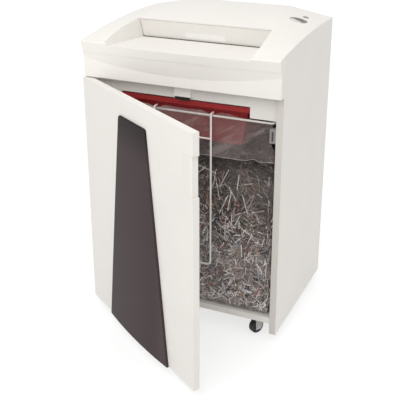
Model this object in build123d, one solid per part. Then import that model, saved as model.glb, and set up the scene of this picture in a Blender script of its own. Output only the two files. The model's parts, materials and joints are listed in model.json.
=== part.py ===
from build123d import *
import math
import os

os.makedirs("parts", exist_ok=True)

# A console paper shredder: a board cabinet on castors with a hinged door, under a moulded feed head.
# X runs across the front to the viewer's right, Y runs from the front to the back, and Z is up.
# While it is built, y = 0 is the plane of the side panels' front edges and z = 0 is the floor.
# All sizes are in millimetres and all angles in degrees.

# Cabinet boards
cabinet_width = 590.0
cabinet_depth = 438.0
board = 19.0
back_board = 8.0
panel_floor_gap = 28.0
castor_height = 62.0
rail_front = 12.0
rail_board = 12.0
rail_gap = 4.0
rail_ear_drop = 27.0
rail_ear_gap = 1.0
drop_width = 360.0
drop_front = 60.0
drop_back = 252.0

# Moulded top housing, which stands on the boards
apron_bottom = 822.0
head_space = 116.0
lip_rise = 26.0
arm_front_rise = 35.0
arm_crown = 4.0
side_peak_rise = 28.0
side_peak_depth = 330.0
feed_wall_rise = 57.0
feed_wall_top_depth = 146.0
crown_rise = 23.0
centre_back_width = 320.0
apron_reach = 34.0
apron_bow = 8.0
apron_lean = 0.26
nose_rise = 31.0
nose_radius = 5.0
housing_wall = 4.0
cap_thickness = 5.0
edge_radius = 3.0
ridge_radius = 18.0

# Feed trough and safety flap
intake_width = 400.0
slot_depth = 160.0
slot_opening = 5.5
floor_fall = 10.0
trough_spread = 11.0
front_flare = 0.45
back_flare = 0.05
flap_thickness = 4.0
flap_gap = 1.0
flap_top_gap = 0.8
flap_pin_radius = 2.0
flap_pin_inset = 4.0
flap_pin_length = 8.0
flap_boss_width = 10.0
flap_boss_size = 10.0
window_width = 124.0
window_height = 19.0
window_thickness = 2.0
window_rise = 6.0

# Controls on the right arm
rocker_side_margin = 59.0
rocker_depth = 288.0
rocker_radius = 24.4
rocker_thickness = 7.5
rocker_sink = 1.5
rocker_dish = 60.0
rocker_dish_depth = 3.0
rocker_clearance = 1.4
rocker_pin_radius = 2.0
rocker_pin_length = 3.0
rocker_cup_depth = 16.0
button_side_margin = 54.0
button_depth = 340.0
button_radius = 9.0
button_height = 9.0
button_proud = 0.8
button_clearance = 0.3
button_cup_depth = 13.0
cup_wall = 3.0

# Front fascia
fascia_height = 72.0
fascia_reach = 22.0
fascia_step = 0.5
fascia_skin = 3.5

# Door
door_thickness = 20.0
door_gap = 3.0
door_side_gap = 1.0
door_top_gap = 3.0
door_bottom_lift = 2.0
door_edge_radius = 1.5
door_rest_angle = 33.0
inlay_top_width = 146.0
inlay_bottom_width = 334.0
inlay_top_margin = 55.0
inlay_bottom_proud = 15.0
inlay_top_proud = 6.0
inlay_crown = 8.0
inlay_corner_radius = 9.0
inlay_edge_radius = 2.0
grip_top_margin = 60.0
grip_height = 107.0
grip_width = 42.0
grip_setback = 6.0
grip_bevel = 4.0
grip_fit = 0.2

# Door hinges
hinge_inset = 2.5
hinge_height = 60.0
hinge_knuckle_radius = 3.5
hinge_relief = 0.5
hinge_pin_radius = 1.5
hinge_pin_clearance = 0.05
hinge_pin_head = 1.5
hinge_leaf = 1.2
hinge_leaf_width = 13.0
hinge_end_margin = 90.0
hinge_joint_gap = 0.3

# Catch and door sensor
catch_drop = 107.0
catch_body_width = 18.0
catch_body_depth = 16.0
catch_body_height = 40.0
catch_front = 1.0
catch_magnet_width = 4.0
catch_magnet_height = 26.0
catch_magnet_depth = 6.0
catch_magnet_proud = 2.4
catch_plate_thickness = 1.2
catch_plate_width = 16.0
catch_plate_height = 34.0
sensor_housing_width = 50.0
sensor_housing_height = 40.0
sensor_housing_front = 0.5
sensor_rise = 12.0
sensor_width = 44.0
sensor_height = 9.0
sensor_inset = 1.0
sensor_corner = 8.0

# Shred chute, wire frame and bag
chute_width = 392.0
chute_front = 13.0
chute_back = 300.0
chute_flange = 14.0
chute_rim = 10.0
chute_skin = 3.0
chute_length = 122.0
chute_mouth_width = 316.0
chute_mouth_front = 50.0
chute_mouth_back = 262.0
wire_radius = 3.0
wire_drop = 34.0
wire_front = 12.0
wire_side_gap = 10.0
wire_back_gap = 22.0
wire_corner = 12.0
runner_leaf = 2.0
runner_front = 30.0
runner_drop = 26.0
runner_reach = 13.0
seat_gap = 0.3
retainer_radius = 2.8
retainer_width = 174.0
retainer_front = 1.9
retainer_length = 458.0
retainer_rung_drop = 65.0
retainer_rung_radius = 2.2
retainer_corner = 14.0
retainer_bend = 3.4
retainer_hook = 16.0
film = 1.0
film_clearance = 0.4
collar_length = 116.0
collar_front = 5.0
collar_half_margin = 8.0
bag_corner = 10.0
bag_neck_drop = 58.0
bag_belly_drop = 102.0
bag_side_bulge = 10.0
bag_front_bulge = 8.0
bag_back_bulge = 8.0
shred_drop = 127.0
shred_gap = 0.5
shred_edge = 7.0

# Cutting head
cutter_rise = 53.0
cutter_spacing = 54.0
disc_radius = 32.0
disc_width = 7.6
disc_pitch = 16.0
disc_count = 25
core_radius = 20.0
core_end_gap = 3.0
journal_radius = 12.5
bearing_radius = 21.0
running_clearance = 0.05
gear_seat_radius = 10.0
plate_thickness = 10.0
plate_gap = 7.0
plate_front_margin = 44.0
plate_back_margin = 44.0
plate_drive_back_margin = 46.0
plate_height = 99.0
plate_corner = 8.0
tie_radius = 6.0
tie_inset = 10.0
comb_bar = 8.0
comb_height = 16.0
comb_finger_width = 6.0
comb_finger_height = 12.0
comb_tip_gap = 2.0
guide_thickness = 1.5
guide_mouth = 22.0
guide_throat = 8.0
guide_bottom_rise = 25.0
guide_top_gap = 2.0

# Drive train
sync_teeth = 18
drive_teeth = 36
pinion_teeth = 12
drive_module = 2.0
sync_gear_width = 8.0
drive_gear_width = 10.0
gear_face_gap = 2.0
tooth_tip_share = 0.75
tooth_root_share = 1.15
tooth_tip_half = 0.11
tooth_root_half = 0.29
idler_shaft_radius = 8.0
motor_radius = 46.0
motor_length = 165.0
motor_flange_radius = 50.0
motor_flange = 6.0
motor_cap_radius = 38.0
motor_cap_length = 14.0
motor_box_width = 60.0
motor_box_depth = 36.0
motor_box_height = 12.0
pinion_shaft_radius = 6.0
pinion_shaft_length = 60.0
capacitor_radius = 20.0
capacitor_height = 75.0
capacitor_gap = 14.0
capacitor_cap_radius = 12.0
capacitor_cap_height = 8.0
circuit_width = 130.0
circuit_depth = 76.0
circuit_side_gap = 31.0
circuit_back_gap = 62.0
circuit_thickness = 1.6
circuit_standoff = 10.0
circuit_standoff_radius = 3.0
circuit_standoff_inset = 7.0
relay_width = 22.0
relay_depth = 18.0
relay_height = 20.0
relay_count = 3

# Mains inlet
inlet_side_gap = 86.0
inlet_rise = 50.0
inlet_flange_width = 50.0
inlet_flange_height = 30.0
inlet_flange = 3.0
inlet_body_width = 30.0
inlet_body_height = 22.0
inlet_body_depth = 24.0
inlet_wall = 2.0
inlet_cavity_depth = 17.0
inlet_pin_width = 2.0
inlet_pin_height = 5.0
inlet_pin_length = 14.0
inlet_pin_spacing = 7.0
inlet_corner = 3.0

# Castors
castor_side_gap = 44.0
castor_end_gap = 52.0
castor_plate_size = 60.0
castor_plate = 2.5
castor_boss_radius = 14.0
castor_boss = 6.5
castor_stem_radius = 5.0
castor_bridge = 5.0
castor_trail = 18.0
castor_cheek = 2.5
castor_cheek_gap = 1.0
castor_cheek_half = 9.0
castor_bridge_back = 12.0
castor_bridge_front = 28.0
wheel_radius = 22.0
wheel_width = 18.0
wheel_edge_radius = 3.0
wheel_recess_radius = 15.0
wheel_recess = 2.0
wheel_hub_radius = 7.0
axle_radius = 3.0
axle_head_radius = 5.0
axle_head = 1.5
castor_screw_spacing = 44.0
castor_screw_radius = 2.4
castor_screw_head_radius = 4.2
castor_screw_head = 2.0
castor_screw_length = 14.0
castor_screw_clearance = 0.05
castor_rest_angles = {"front_left": 200.0, "front_right": 150.0, "back_left": 35.0, "back_right": -20.0}

# Places worked out from the sizes above
half = cabinet_width / 2
inner_half = half - board
inner_back = cabinet_depth - back_board
base_top = castor_height + board
deck_underside = apron_bottom - head_space
deck_top = deck_underside + board
deck_front = rail_front + rail_board
intake_half = intake_width / 2
lip_height = apron_bottom + lip_rise
slot_height = lip_height - floor_fall
arm_front_height = apron_bottom + arm_front_rise
side_peak_height = arm_front_height + side_peak_rise
feed_wall_top = slot_height + feed_wall_rise
centre_back_height = side_peak_height + crown_rise
fascia_bottom = apron_bottom - fascia_height
rocker_x = half - rocker_side_margin
button_x = half - button_side_margin
door_bottom = panel_floor_gap + door_bottom_lift
door_top = fascia_bottom - door_top_gap
door_half = half - door_side_gap
door_back = -door_gap
door_front = door_back - door_thickness
catch_height = door_top - catch_drop
hinge_x = -half + hinge_inset
hinge_y = door_back
hinge_axis = Axis((hinge_x, hinge_y, 0), (0, 0, 1))
chute_bottom = deck_underside - chute_length
wire_height = deck_underside - wire_drop
wire_half = inner_half - wire_side_gap
wire_back = inner_back - wire_back_gap
retainer_bottom = wire_height - retainer_length
retainer_rung = wire_height - retainer_rung_drop
collar_bottom = wire_height - collar_length
shred_height = wire_height - shred_drop
cutter_height = deck_top + cutter_rise
plate_top = deck_top + plate_height
cutter_front = slot_depth - slot_opening / 2 - cutter_spacing / 2
cutter_back = cutter_front + cutter_spacing
plate_inner = intake_half + plate_gap
plate_outer = plate_inner + plate_thickness
sync_module = cutter_spacing / sync_teeth
drive_radius = drive_module * drive_teeth / 2
pinion_radius = drive_module * pinion_teeth / 2
idler_depth = cutter_back + 2 * drive_radius
motor_depth = idler_depth + drive_radius + pinion_radius
sync_gear_x = plate_outer + gear_face_gap
drive_gear_x = sync_gear_x + sync_gear_width + gear_face_gap
drive_end = drive_gear_x + drive_gear_width
motor_end = plate_inner - motor_length - motor_cap_length
capacitor_x = motor_end - capacitor_gap - capacitor_radius
circuit_x = circuit_side_gap + circuit_width / 2 - inner_half
circuit_centre_depth = inner_back - circuit_back_gap - circuit_depth / 2
inlet_x = inlet_side_gap - inner_half
inlet_height = deck_top + inlet_rise
castor_x = inner_half - castor_side_gap
castor_places = {
    "front_left": (-castor_x, castor_end_gap),
    "front_right": (castor_x, castor_end_gap),
    "back_left": (-castor_x, cabinet_depth - castor_end_gap),
    "back_right": (castor_x, cabinet_depth - castor_end_gap),
}
hood_run = side_peak_depth + apron_reach
hood_radius = (hood_run**2 + side_peak_rise**2) / (2 * side_peak_rise)
ridge_depths = (-apron_reach, feed_wall_top_depth, cabinet_depth)
ridge_heights = (arm_front_height + arm_crown, feed_wall_top, centre_back_height)
feed_lean = (slot_depth - feed_wall_top_depth) / (feed_wall_top - slot_height)
beyond = cabinet_depth
half_turn = 180.0


# Plain shapes
def block(x, y, z):
    """A block that fills three ranges."""
    ranges = (x, y, z)
    centre = [(low + high) / 2 for low, high in ranges]
    size = [high - low for low, high in ranges]
    return Pos(*centre) * Box(*size)


def bar_across(radius, x, y, z):
    """A round bar along X."""
    return Pos((x[0] + x[1]) / 2, y, z) * Rot(0, 90, 0) * Cylinder(radius, x[1] - x[0])


def bar_up(radius, x, y, z):
    """A round bar along Z."""
    return Pos(x, y, (z[0] + z[1]) / 2) * Cylinder(radius, z[1] - z[0])


def side_extrusion(outline, x):
    """A side view, with Y across and Z up, made solid between two X places."""
    return extrude(Plane.YZ.offset(x[0]) * outline, amount=x[1] - x[0])


def both_sides(shape):
    """A piece and its mirror image across the middle of the machine."""
    return [shape, mirror(shape, about=Plane.YZ)]


def wire(points, radius, corner):
    """A bent round wire along straight runs."""
    path = FilletPolyline(*points, radius=corner)
    start = Plane(origin=path @ 0, z_dir=path % 0)
    return sweep(start * Circle(radius), path=path)


# Shape of the hood
def side_height(y):
    """Height of the hood's outer edge, an arc over the side panels."""
    return side_peak_height - hood_radius + math.sqrt(hood_radius**2 - (y - side_peak_depth) ** 2)


def through_three(y, values):
    """Smooth curve through three values at the three depths of the ridge."""
    total = 0.0
    for i, value in enumerate(values):
        weight = 1.0
        for j, depth in enumerate(ridge_depths):
            if i != j:
                weight *= (y - depth) / (ridge_depths[i] - depth)
        total += value * weight
    return total


def floor_height(y):
    """Height of the trough floor, which falls from the lip to the slot."""
    return lip_height - floor_fall * (y + apron_reach) / (slot_depth + apron_reach)


def trough_half(y, z):
    """Half width of the trough at one depth and height."""
    share = (slot_depth - y) / (slot_depth + apron_reach)
    flare = back_flare + (front_flare - back_flare) * share
    return intake_half + trough_spread * share + flare * (z - floor_height(y))


def ridge_height(y):
    """Height of the ridge between a shoulder and the middle of the hood."""
    return through_three(y, ridge_heights)


def ridge_half(y):
    """Distance of the ridge from the middle of the hood."""
    front = trough_half(ridge_depths[0], ridge_heights[0])
    top = trough_half(ridge_depths[1], ridge_heights[1])
    return through_three(y, (front, top, centre_back_width / 2))


def shoulder_height(x, y):
    """Height of the sloping shoulder between the ridge and the outer edge."""
    share = (half - x) / (half - ridge_half(y))
    return side_height(y) + share * (ridge_height(y) - side_height(y))


def shoulder_plane(x, y):
    """Plane that lies on the shoulder, with its X direction down the slope."""
    step = 1.0
    slope_x = (shoulder_height(x + step, y) - shoulder_height(x - step, y)) / (2 * step)
    slope_y = (shoulder_height(x, y + step) - shoulder_height(x, y - step)) / (2 * step)
    return Plane(origin=(x, y, shoulder_height(x, y)), x_dir=(1, 0, slope_x), z_dir=(-slope_x, -slope_y, 1))


def hood_section(y, width_half, drop, bottom):
    """Cross-section of the hood at one depth, a set drop under its surface."""
    ridge = ridge_half(y)
    crest = ridge_height(y) - drop
    edge = shoulder_height(width_half, y) - drop
    corners = [(-width_half, bottom), (-width_half, edge), (-ridge, crest)]
    corners += [(-x, z) for x, z in reversed(corners)]
    outline = FilletPolyline(*corners, radius=[edge_radius, ridge_radius, ridge_radius, edge_radius])
    base = Line(corners[-1], corners[0])
    plane = Plane(origin=(0, y, 0), x_dir=(1, 0, 0), z_dir=(0, -1, 0))
    return plane * make_face(outline.edges() + base.edges())


def hood_body(width_half, drop, bottom, back):
    """Solid under the hood's surface, from ahead of the apron to the back."""
    front = -2 * (apron_reach + apron_bow)
    count = 6
    depths = [front + (back - front) * i / count for i in range(count + 1)]
    return loft([hood_section(y, width_half, drop, bottom) for y in depths])


def apron_plan(setback, z):
    """Plan of the housing with its bowed front, a set distance behind the nose."""
    ends = setback - apron_reach
    front = ThreePointArc((-half, ends), (0, ends - apron_bow), (half, ends))
    rest = Polyline((half, ends), (half, cabinet_depth), (-half, cabinet_depth), (-half, ends))
    return Pos(0, 0, z) * make_face(front.edges() + rest.edges())


nose_low_angle = -math.atan(apron_lean)
nose_high_angle = math.asin((arm_front_rise - nose_rise) / nose_radius)
nose_setback = nose_radius * (1 - math.cos(nose_high_angle))
nose_low_rise = nose_rise + nose_radius * math.sin(nose_low_angle)
apron_bottom_setback = nose_radius * (1 - math.cos(nose_low_angle)) + apron_lean * nose_low_rise


def nose_body():
    """Plan of the housing made solid: the apron leans out upwards and rounds over at its top."""
    steps = 5
    plans = []
    for i in range(steps + 1):
        angle = nose_low_angle + (nose_high_angle - nose_low_angle) * i / steps
        setback = nose_radius * (1 - math.cos(angle))
        plans.append(apron_plan(setback, apron_bottom + nose_rise + nose_radius * math.sin(angle)))
    lower = loft([apron_plan(apron_bottom_setback, apron_bottom), plans[0]], ruled=True)
    upper = extrude(plans[-1], amount=centre_back_height - apron_bottom)
    return lower + loft(plans) + upper


def trough_body(margin):
    """The feed trough as a solid, grown on its floor and sides by a margin."""
    front = -2 * (apron_reach + apron_bow)
    back = 2 * slot_depth
    top = centre_back_height + crown_rise
    count = 6
    sections = []
    for i in range(count + 1):
        y = front + (back - front) * i / count
        low = floor_height(y) - margin
        corners = [(-trough_half(y, floor_height(y)) - margin, low), (-trough_half(y, top) - margin, top)]
        corners += [(-x, z) for x, z in reversed(corners)]
        plane = Plane(origin=(0, y, 0), x_dir=(1, 0, 0), z_dir=(0, -1, 0))
        sections.append(plane * make_face(Polyline(*corners, close=True)))
    channel = loft(sections, ruled=True)
    low = slot_height - lip_rise
    outline = Polyline((front, low), (feed_wall(low), low), (feed_wall(top), top), (front, top), close=True)
    return channel & side_extrusion(make_face(outline), (-half, half))


def feed_wall(z):
    """Depth of the leaning back wall of the trough at one height."""
    return slot_depth - feed_lean * (z - slot_height)


flap_plane = Plane(origin=(0, slot_depth, slot_height), x_dir=(1, 0, 0), z_dir=(0, -1, -feed_lean))
flap_slant = math.hypot(1, feed_lean)
flap_length = (feed_wall_top - housing_wall - flap_top_gap - slot_height) * flap_slant
flap_pin_rise = flap_length - flap_pin_inset


def flap_half(rise):
    """Half width of the flap at a distance up its face."""
    z = slot_height + rise / flap_slant
    return trough_half(feed_wall(z), z) - flap_gap


rocker_plane = shoulder_plane(rocker_x, rocker_depth)
button_plane = shoulder_plane(button_x, button_depth)
rocker_cup_radius = rocker_radius + rocker_clearance
rocker_pivot = rocker_sink + rocker_thickness / 2
button_cup_radius = button_radius + button_clearance


def cup(plane, radius, depth):
    """Round cup that hangs under the shoulder, and the space inside it."""
    shell_top = -housing_wall / 2
    outer = plane * (Pos(0, 0, (shell_top - depth) / 2) * Cylinder(radius + cup_wall, depth + shell_top))
    inner = plane * (Pos(0, 0, cup_wall / 2) * Cylinder(radius, 2 * depth - cup_wall))
    return outer, inner


def flap_bosses():
    """Bearing blocks for the flap's pins, at the ends of the trough's walls."""
    start = flap_half(flap_pin_rise) + 2 * flap_gap
    block_shape = Box(flap_boss_width, flap_boss_size, flap_boss_size)
    boss = flap_plane * (Pos(start + flap_boss_width / 2, flap_pin_rise, -flap_thickness / 2) * block_shape)
    return both_sides(boss)


def flap_pin(extra_radius, extra_length):
    """The flap's two hinge pins, or with extra sizes the bores that hold them."""
    start = flap_half(flap_pin_rise) - flap_pin_inset
    length = flap_pin_inset + flap_pin_length + extra_length
    pin = Rot(0, 90, 0) * Cylinder(flap_pin_radius + extra_radius, length)
    return both_sides(flap_plane * (Pos(start + length / 2, flap_pin_rise, -flap_thickness / 2) * pin))


def rocker_pins(extra_radius, extra_length):
    """The rocker's two pivot stubs, or with extra sizes the bores that hold them."""
    length = 2 * (rocker_cup_radius + rocker_pin_length / 2 + extra_length)
    pin = Rot(0, 90, 0) * Cylinder(rocker_pin_radius + extra_radius, length)
    return rocker_plane * (Pos(0, 0, -rocker_pivot) * pin)


def panel_outline(front, back, bottom):
    """Side view of a side panel, with its arched top under the housing's cap."""
    middle = (front + back) / 2
    heights = [side_height(y) - cap_thickness for y in (front, middle, back)]
    arch = ThreePointArc((front, heights[0]), (middle, heights[1]), (back, heights[2]))
    rest = Polyline((back, heights[2]), (back, bottom), (front, bottom), (front, heights[0]))
    return make_face(arch.edges() + rest.edges())


# Cabinet pieces
def hinge_spans():
    """Height ranges of the two hinges."""
    low = door_bottom + hinge_end_margin
    high = door_top - hinge_end_margin - hinge_height
    return [(low, low + hinge_height), (high, high + hinge_height)]


def hinge_pockets():
    """Round reliefs for the hinge knuckles in the door and in the left side panel."""
    radius = hinge_knuckle_radius + hinge_relief
    return [bar_up(radius, hinge_x, hinge_y, (low - hinge_pin_head * 2, high + hinge_pin_head * 2))
            for low, high in hinge_spans()]


def side_panels():
    outline = panel_outline(0, cabinet_depth, panel_floor_gap)
    right, left = both_sides(side_extrusion(outline, (inner_half, half)))
    for pocket in hinge_pockets():
        left -= pocket
    return left, right


def castor_screw_places():
    """Places of all castor screws, in plan."""
    reach = castor_screw_spacing / 2
    corners = [(-reach, -reach), (reach, -reach), (reach, reach), (-reach, reach)]
    return [(x + dx, y + dy) for x, y in castor_places.values() for dx, dy in corners]


def castor_screw_holes():
    radius = castor_screw_radius + castor_screw_clearance
    top = castor_height - castor_plate + castor_screw_length
    return [bar_up(radius, x, y, (castor_height - castor_plate, top)) for x, y in castor_screw_places()]


def base_panel():
    panel = block((-inner_half, inner_half), (0, inner_back), (castor_height, base_top))
    for hole in castor_screw_holes():
        panel -= hole
    return panel


def inlet_body_range(margin):
    """Ranges of the inlet's body across and up, grown by a margin."""
    reach_x = inlet_body_width / 2 + margin
    reach_z = inlet_body_height / 2 + margin
    return (inlet_x - reach_x, inlet_x + reach_x), (inlet_height - reach_z, inlet_height + reach_z)


def back_panel():
    panel = block((-inner_half, inner_half), (inner_back, cabinet_depth), (castor_height, apron_bottom))
    cut_x, cut_z = inlet_body_range(running_clearance)
    return panel - block(cut_x, (inner_back, cabinet_depth), cut_z)


def machine_deck():
    deck = block((-inner_half, inner_half), (deck_front, inner_back), (deck_underside, deck_top))
    reach = drop_width / 2
    return deck - block((-reach, reach), (drop_front, drop_back), (deck_underside, deck_top))


def front_rail():
    """Board behind the fascia, with an ear down each side of the chute."""
    depth = (rail_front, deck_front)
    rail = block((-inner_half, inner_half), depth, (deck_underside + rail_gap, apron_bottom))
    ear_span = (chute_width / 2 + rail_ear_gap, inner_half)
    for ear in both_sides(block(ear_span, depth, (deck_underside - rail_ear_drop, apron_bottom))):
        rail += ear
    return rail


def front_fascia():
    """Thin moulded band whose upper part carries on the leaning, bowed face of the apron."""
    top_reach = apron_reach - apron_bottom_setback - fascia_step

    def body(inset):
        side = half - inset
        low = fascia_bottom + inset
        high = apron_bottom - inset

        def plan(z):
            ends = inset - top_reach + apron_lean * (apron_bottom - z)
            arc = ThreePointArc((-side, ends), (0, ends - apron_bow), (side, ends))
            rest = Polyline((side, ends), (side, beyond), (-side, beyond), (-side, ends))
            return Pos(0, 0, z) * make_face(arc.edges() + rest.edges())

        slab = block((-side, side), (inset - fascia_reach, inset), (low, high))
        ahead = block((-side, side), (-beyond, inset), (low, high))
        return slab + (loft([plan(low), plan(high)], ruled=True) & ahead)

    return body(0) - body(fascia_skin)


def top_housing():
    """Thin hood with its trough, caps over the side panels, cups and flap bearings."""
    below = apron_bottom - lip_rise
    shell = hood_body(half, 0, below, cabinet_depth) & nose_body()
    outline = panel_outline(0, beyond, below)
    for space in both_sides(side_extrusion(outline, (inner_half, half + board))):
        shell -= space
    hollow = hood_body(inner_half - housing_wall, housing_wall, below, cabinet_depth - housing_wall)
    inside = extrude(apron_plan(apron_bottom_setback + housing_wall, below), amount=beyond)
    shell -= (hollow & inside) - trough_body(housing_wall)
    shell -= trough_body(0)
    slot_range = (slot_depth - slot_opening, 2 * slot_depth)
    shell -= block((-intake_half, intake_half), slot_range, (below, slot_height + housing_wall))
    for boss in flap_bosses():
        shell += boss
    for bore in flap_pin(running_clearance, flap_gap):
        shell -= bore
    rocker_cup = cup(rocker_plane, rocker_cup_radius, rocker_cup_depth)
    button_cup = cup(button_plane, button_cup_radius, button_cup_depth)
    for outer, inner in (rocker_cup, button_cup):
        shell = shell + outer - inner
    return shell - rocker_pins(running_clearance, flap_gap)


# Feed pieces
def safety_flap():
    """Leaning panel over the slot, hung on two pins at its upper edge."""
    low = flap_gap
    corners = [(-flap_half(low), low), (-flap_half(flap_length), flap_length)]
    corners += [(-x, y) for x, y in reversed(corners)]
    panel = extrude(flap_plane * make_face(Polyline(*corners, close=True)), amount=-flap_thickness)
    upper = panel.edges().sort_by(Axis.Z)[-2:]
    panel = fillet(upper, flap_thickness / 2 - running_clearance)
    for pin in flap_pin(0, 0):
        panel += pin
    return panel - flap_window()


def flap_window():
    """Pale sensor window let into the flap's face."""
    shape = Box(window_width, window_height, window_thickness)
    return flap_plane * (Pos(0, window_rise + window_height / 2, -window_thickness / 2) * shape)


def rocker_switch():
    """Dished round switch that tilts about two stubs in its cup."""
    disc = Pos(0, 0, -rocker_pivot) * Cylinder(rocker_radius, rocker_thickness)
    dish = Pos(0, 0, rocker_dish - rocker_sink - rocker_dish_depth) * Sphere(rocker_dish)
    return rocker_plane * (disc - dish) + rocker_pins(0, 0)


def ready_button():
    """Small round push button in its cup."""
    cap = Pos(0, 0, button_proud - button_height / 2) * Cylinder(button_radius, button_height)
    rim = cap.edges().sort_by(Axis.Z)[-1:]
    return button_plane * fillet(rim, button_proud)


# Door pieces, made closed and then swung to the rest angle
def swung(shape):
    return shape.rotate(hinge_axis, -door_rest_angle)


grip_top = door_top - grip_top_margin
grip_bottom = grip_top - grip_height


def door_panel():
    panel = block((-door_half, door_half), (door_front, door_back), (door_bottom, door_top))
    panel = fillet(panel.edges(), door_edge_radius)
    for pocket in hinge_pockets():
        panel -= pocket
    return panel - block((door_half - grip_width, half), (2 * door_front, 0), (grip_bottom, grip_top))


def door_inlay():
    """Tapered bowed panel, proud of the door and deepest at its foot."""
    top = door_top - inlay_top_margin
    corners = [(-inlay_bottom_width / 2, door_bottom), (-inlay_top_width / 2, top)]
    corners += [(-x, z) for x, z in reversed(corners)]
    outline = FilletPolyline(*corners, radius=inlay_corner_radius)
    base = Line(corners[-1], corners[0])
    plane = Plane(origin=(0, door_front, 0), x_dir=(1, 0, 0), z_dir=(0, -1, 0))
    prism = extrude(plane * make_face(outline.edges() + base.edges()), amount=door_thickness)
    height = top - door_bottom
    bow_radius = ((inlay_bottom_width / 2) ** 2 + inlay_crown**2) / (2 * inlay_crown)
    tilt = math.degrees(math.atan((inlay_bottom_proud - inlay_top_proud) / height))
    bow = Pos(0, bow_radius, height / 2) * Cylinder(bow_radius, 2 * height)
    bow = Pos(0, door_front - inlay_bottom_proud, door_bottom) * Rot(-tilt, 0, 0) * bow
    panel = prism & bow
    front = panel.faces().filter_by(GeomType.CYLINDER).sort_by(SortBy.AREA)[-1]
    return fillet(front.edges(), inlay_edge_radius)


def door_grip():
    """Finger pull let into the free edge, set back from it and bevelled at the front."""
    inner = door_half - grip_width + grip_fit
    edge = door_half - grip_setback
    outline = Polyline((inner, door_back), (inner, door_front), (edge - grip_bevel, door_front),
                       (edge, door_front + grip_bevel), (edge, door_back), close=True)
    low = grip_bottom + grip_fit
    return extrude(Pos(0, 0, low) * make_face(outline), amount=grip_height - 2 * grip_fit)


def hinge_leaf_set(y, moving):
    """Two hinge leaves with knuckles; the moving leaf has the middle knuckle."""
    leaves = []
    bore = hinge_pin_radius + hinge_pin_clearance
    for low, high in hinge_spans():
        third = (high - low) / 3
        gap = hinge_joint_gap if moving else 0
        middle = (low + third + gap, high - third - gap)
        ends = [(low, low + third), (high - third, high)]
        own, other = ([middle], ends) if moving else (ends, [(low + third, high - third)])
        start = hinge_x + hinge_pin_radius
        leaf = block((start, start + hinge_leaf_width), y, (low, high))
        for span in other:
            reach = (span[0] - hinge_joint_gap, span[1] + hinge_joint_gap)
            leaf -= bar_up(hinge_knuckle_radius + hinge_relief, hinge_x, hinge_y, reach)
        for span in own:
            leaf += bar_up(hinge_knuckle_radius, hinge_x, hinge_y, span)
        leaves.append(leaf - bar_up(bore, hinge_x, hinge_y, (low, high)))
    return leaves


def hinge_pins():
    pins = []
    for low, high in hinge_spans():
        pin = bar_up(hinge_pin_radius, hinge_x, hinge_y, (low - hinge_pin_head, high))
        pins.append(pin + bar_up(hinge_knuckle_radius, hinge_x, hinge_y, (high, high + hinge_pin_head)))
    return pins


catch_x = inner_half - catch_body_width / 2
catch_span = (catch_height - catch_body_height / 2, catch_height + catch_body_height / 2)


def catch_magnet():
    reach = catch_magnet_width / 2
    rise = catch_magnet_height / 2
    front = catch_front - catch_magnet_proud
    return block((catch_x - reach, catch_x + reach), (front, catch_front + catch_magnet_depth),
                 (catch_height - rise, catch_height + rise))


def magnetic_catch():
    depth = (catch_front, catch_front + catch_body_depth)
    body = block((inner_half - catch_body_width, inner_half), depth, catch_span)
    return body - catch_magnet()


def catch_plate():
    reach = catch_plate_width / 2
    rise = catch_plate_height / 2
    return block((catch_x - reach, catch_x + reach), (door_back, door_back + catch_plate_thickness),
                 (catch_height - rise, catch_height + rise))


def door_sensor_housing():
    reach = sensor_housing_width / 2
    low = deck_underside + sensor_rise
    return block((-reach, reach), (sensor_housing_front, rail_front), (low, low + sensor_housing_height))


def door_sensor():
    """Black sensor head under its housing, rounded along its lower edge."""
    reach = sensor_width / 2
    high = deck_underside + sensor_rise
    low = high - sensor_height
    outline = FilletPolyline((-reach, high), (-reach, low), (reach, low), (reach, high), radius=sensor_corner)
    base = Line((reach, high), (-reach, high))
    back = rail_front - 2 * sensor_inset
    plane = Plane(origin=(0, back, 0), x_dir=(1, 0, 0), z_dir=(0, -1, 0))
    depth = back - sensor_housing_front - sensor_inset
    return extrude(plane * make_face(outline.edges() + base.edges()), amount=depth)


# Chute, wire frame and bag
def shred_chute():
    """Red funnel under the deck: a square rim and four leaning walls."""
    reach = chute_width / 2
    rim_low = deck_underside - chute_flange
    inner = reach - chute_rim
    rim = block((-reach, reach), (chute_front, chute_back), (rim_low, deck_underside))
    rim_depth = (chute_front + chute_rim, chute_back - chute_rim)
    rim -= block((-inner, inner), rim_depth, (rim_low, deck_underside))

    def funnel(shrink):
        sections = []
        upper = (inner, *rim_depth, rim_low)
        lower = (chute_mouth_width / 2, chute_mouth_front, chute_mouth_back, chute_bottom)
        for side, front, back, z in (lower, upper):
            width = 2 * (side - shrink)
            depth = back - front - 2 * shrink
            sections.append(Pos(0, (front + back) / 2, z) * Rectangle(width, depth))
        return loft(sections, ruled=True)

    return rim + (funnel(-chute_skin) - funnel(0))


def bag_frame():
    """Closed wire hoop that the bag hangs on."""
    points = [(0, wire_front, wire_height), (wire_half, wire_front, wire_height),
              (wire_half, wire_back, wire_height), (0, wire_back, wire_height)]
    right, left = both_sides(wire(points, wire_radius, wire_corner))
    return right + left


def frame_runners():
    """Angle rails on the side panels, under the wires of the hoop."""
    top = wire_height - wire_radius - seat_gap
    span = (runner_front, inner_back - runner_front)
    leg = block((inner_half - runner_leaf, inner_half), span, (top - runner_drop, top))
    shelf = block((inner_half - runner_reach, inner_half), span, (top - runner_leaf, top))
    return both_sides(leg + shelf)


film_top = wire_height + wire_radius + film_clearance + film


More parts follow.
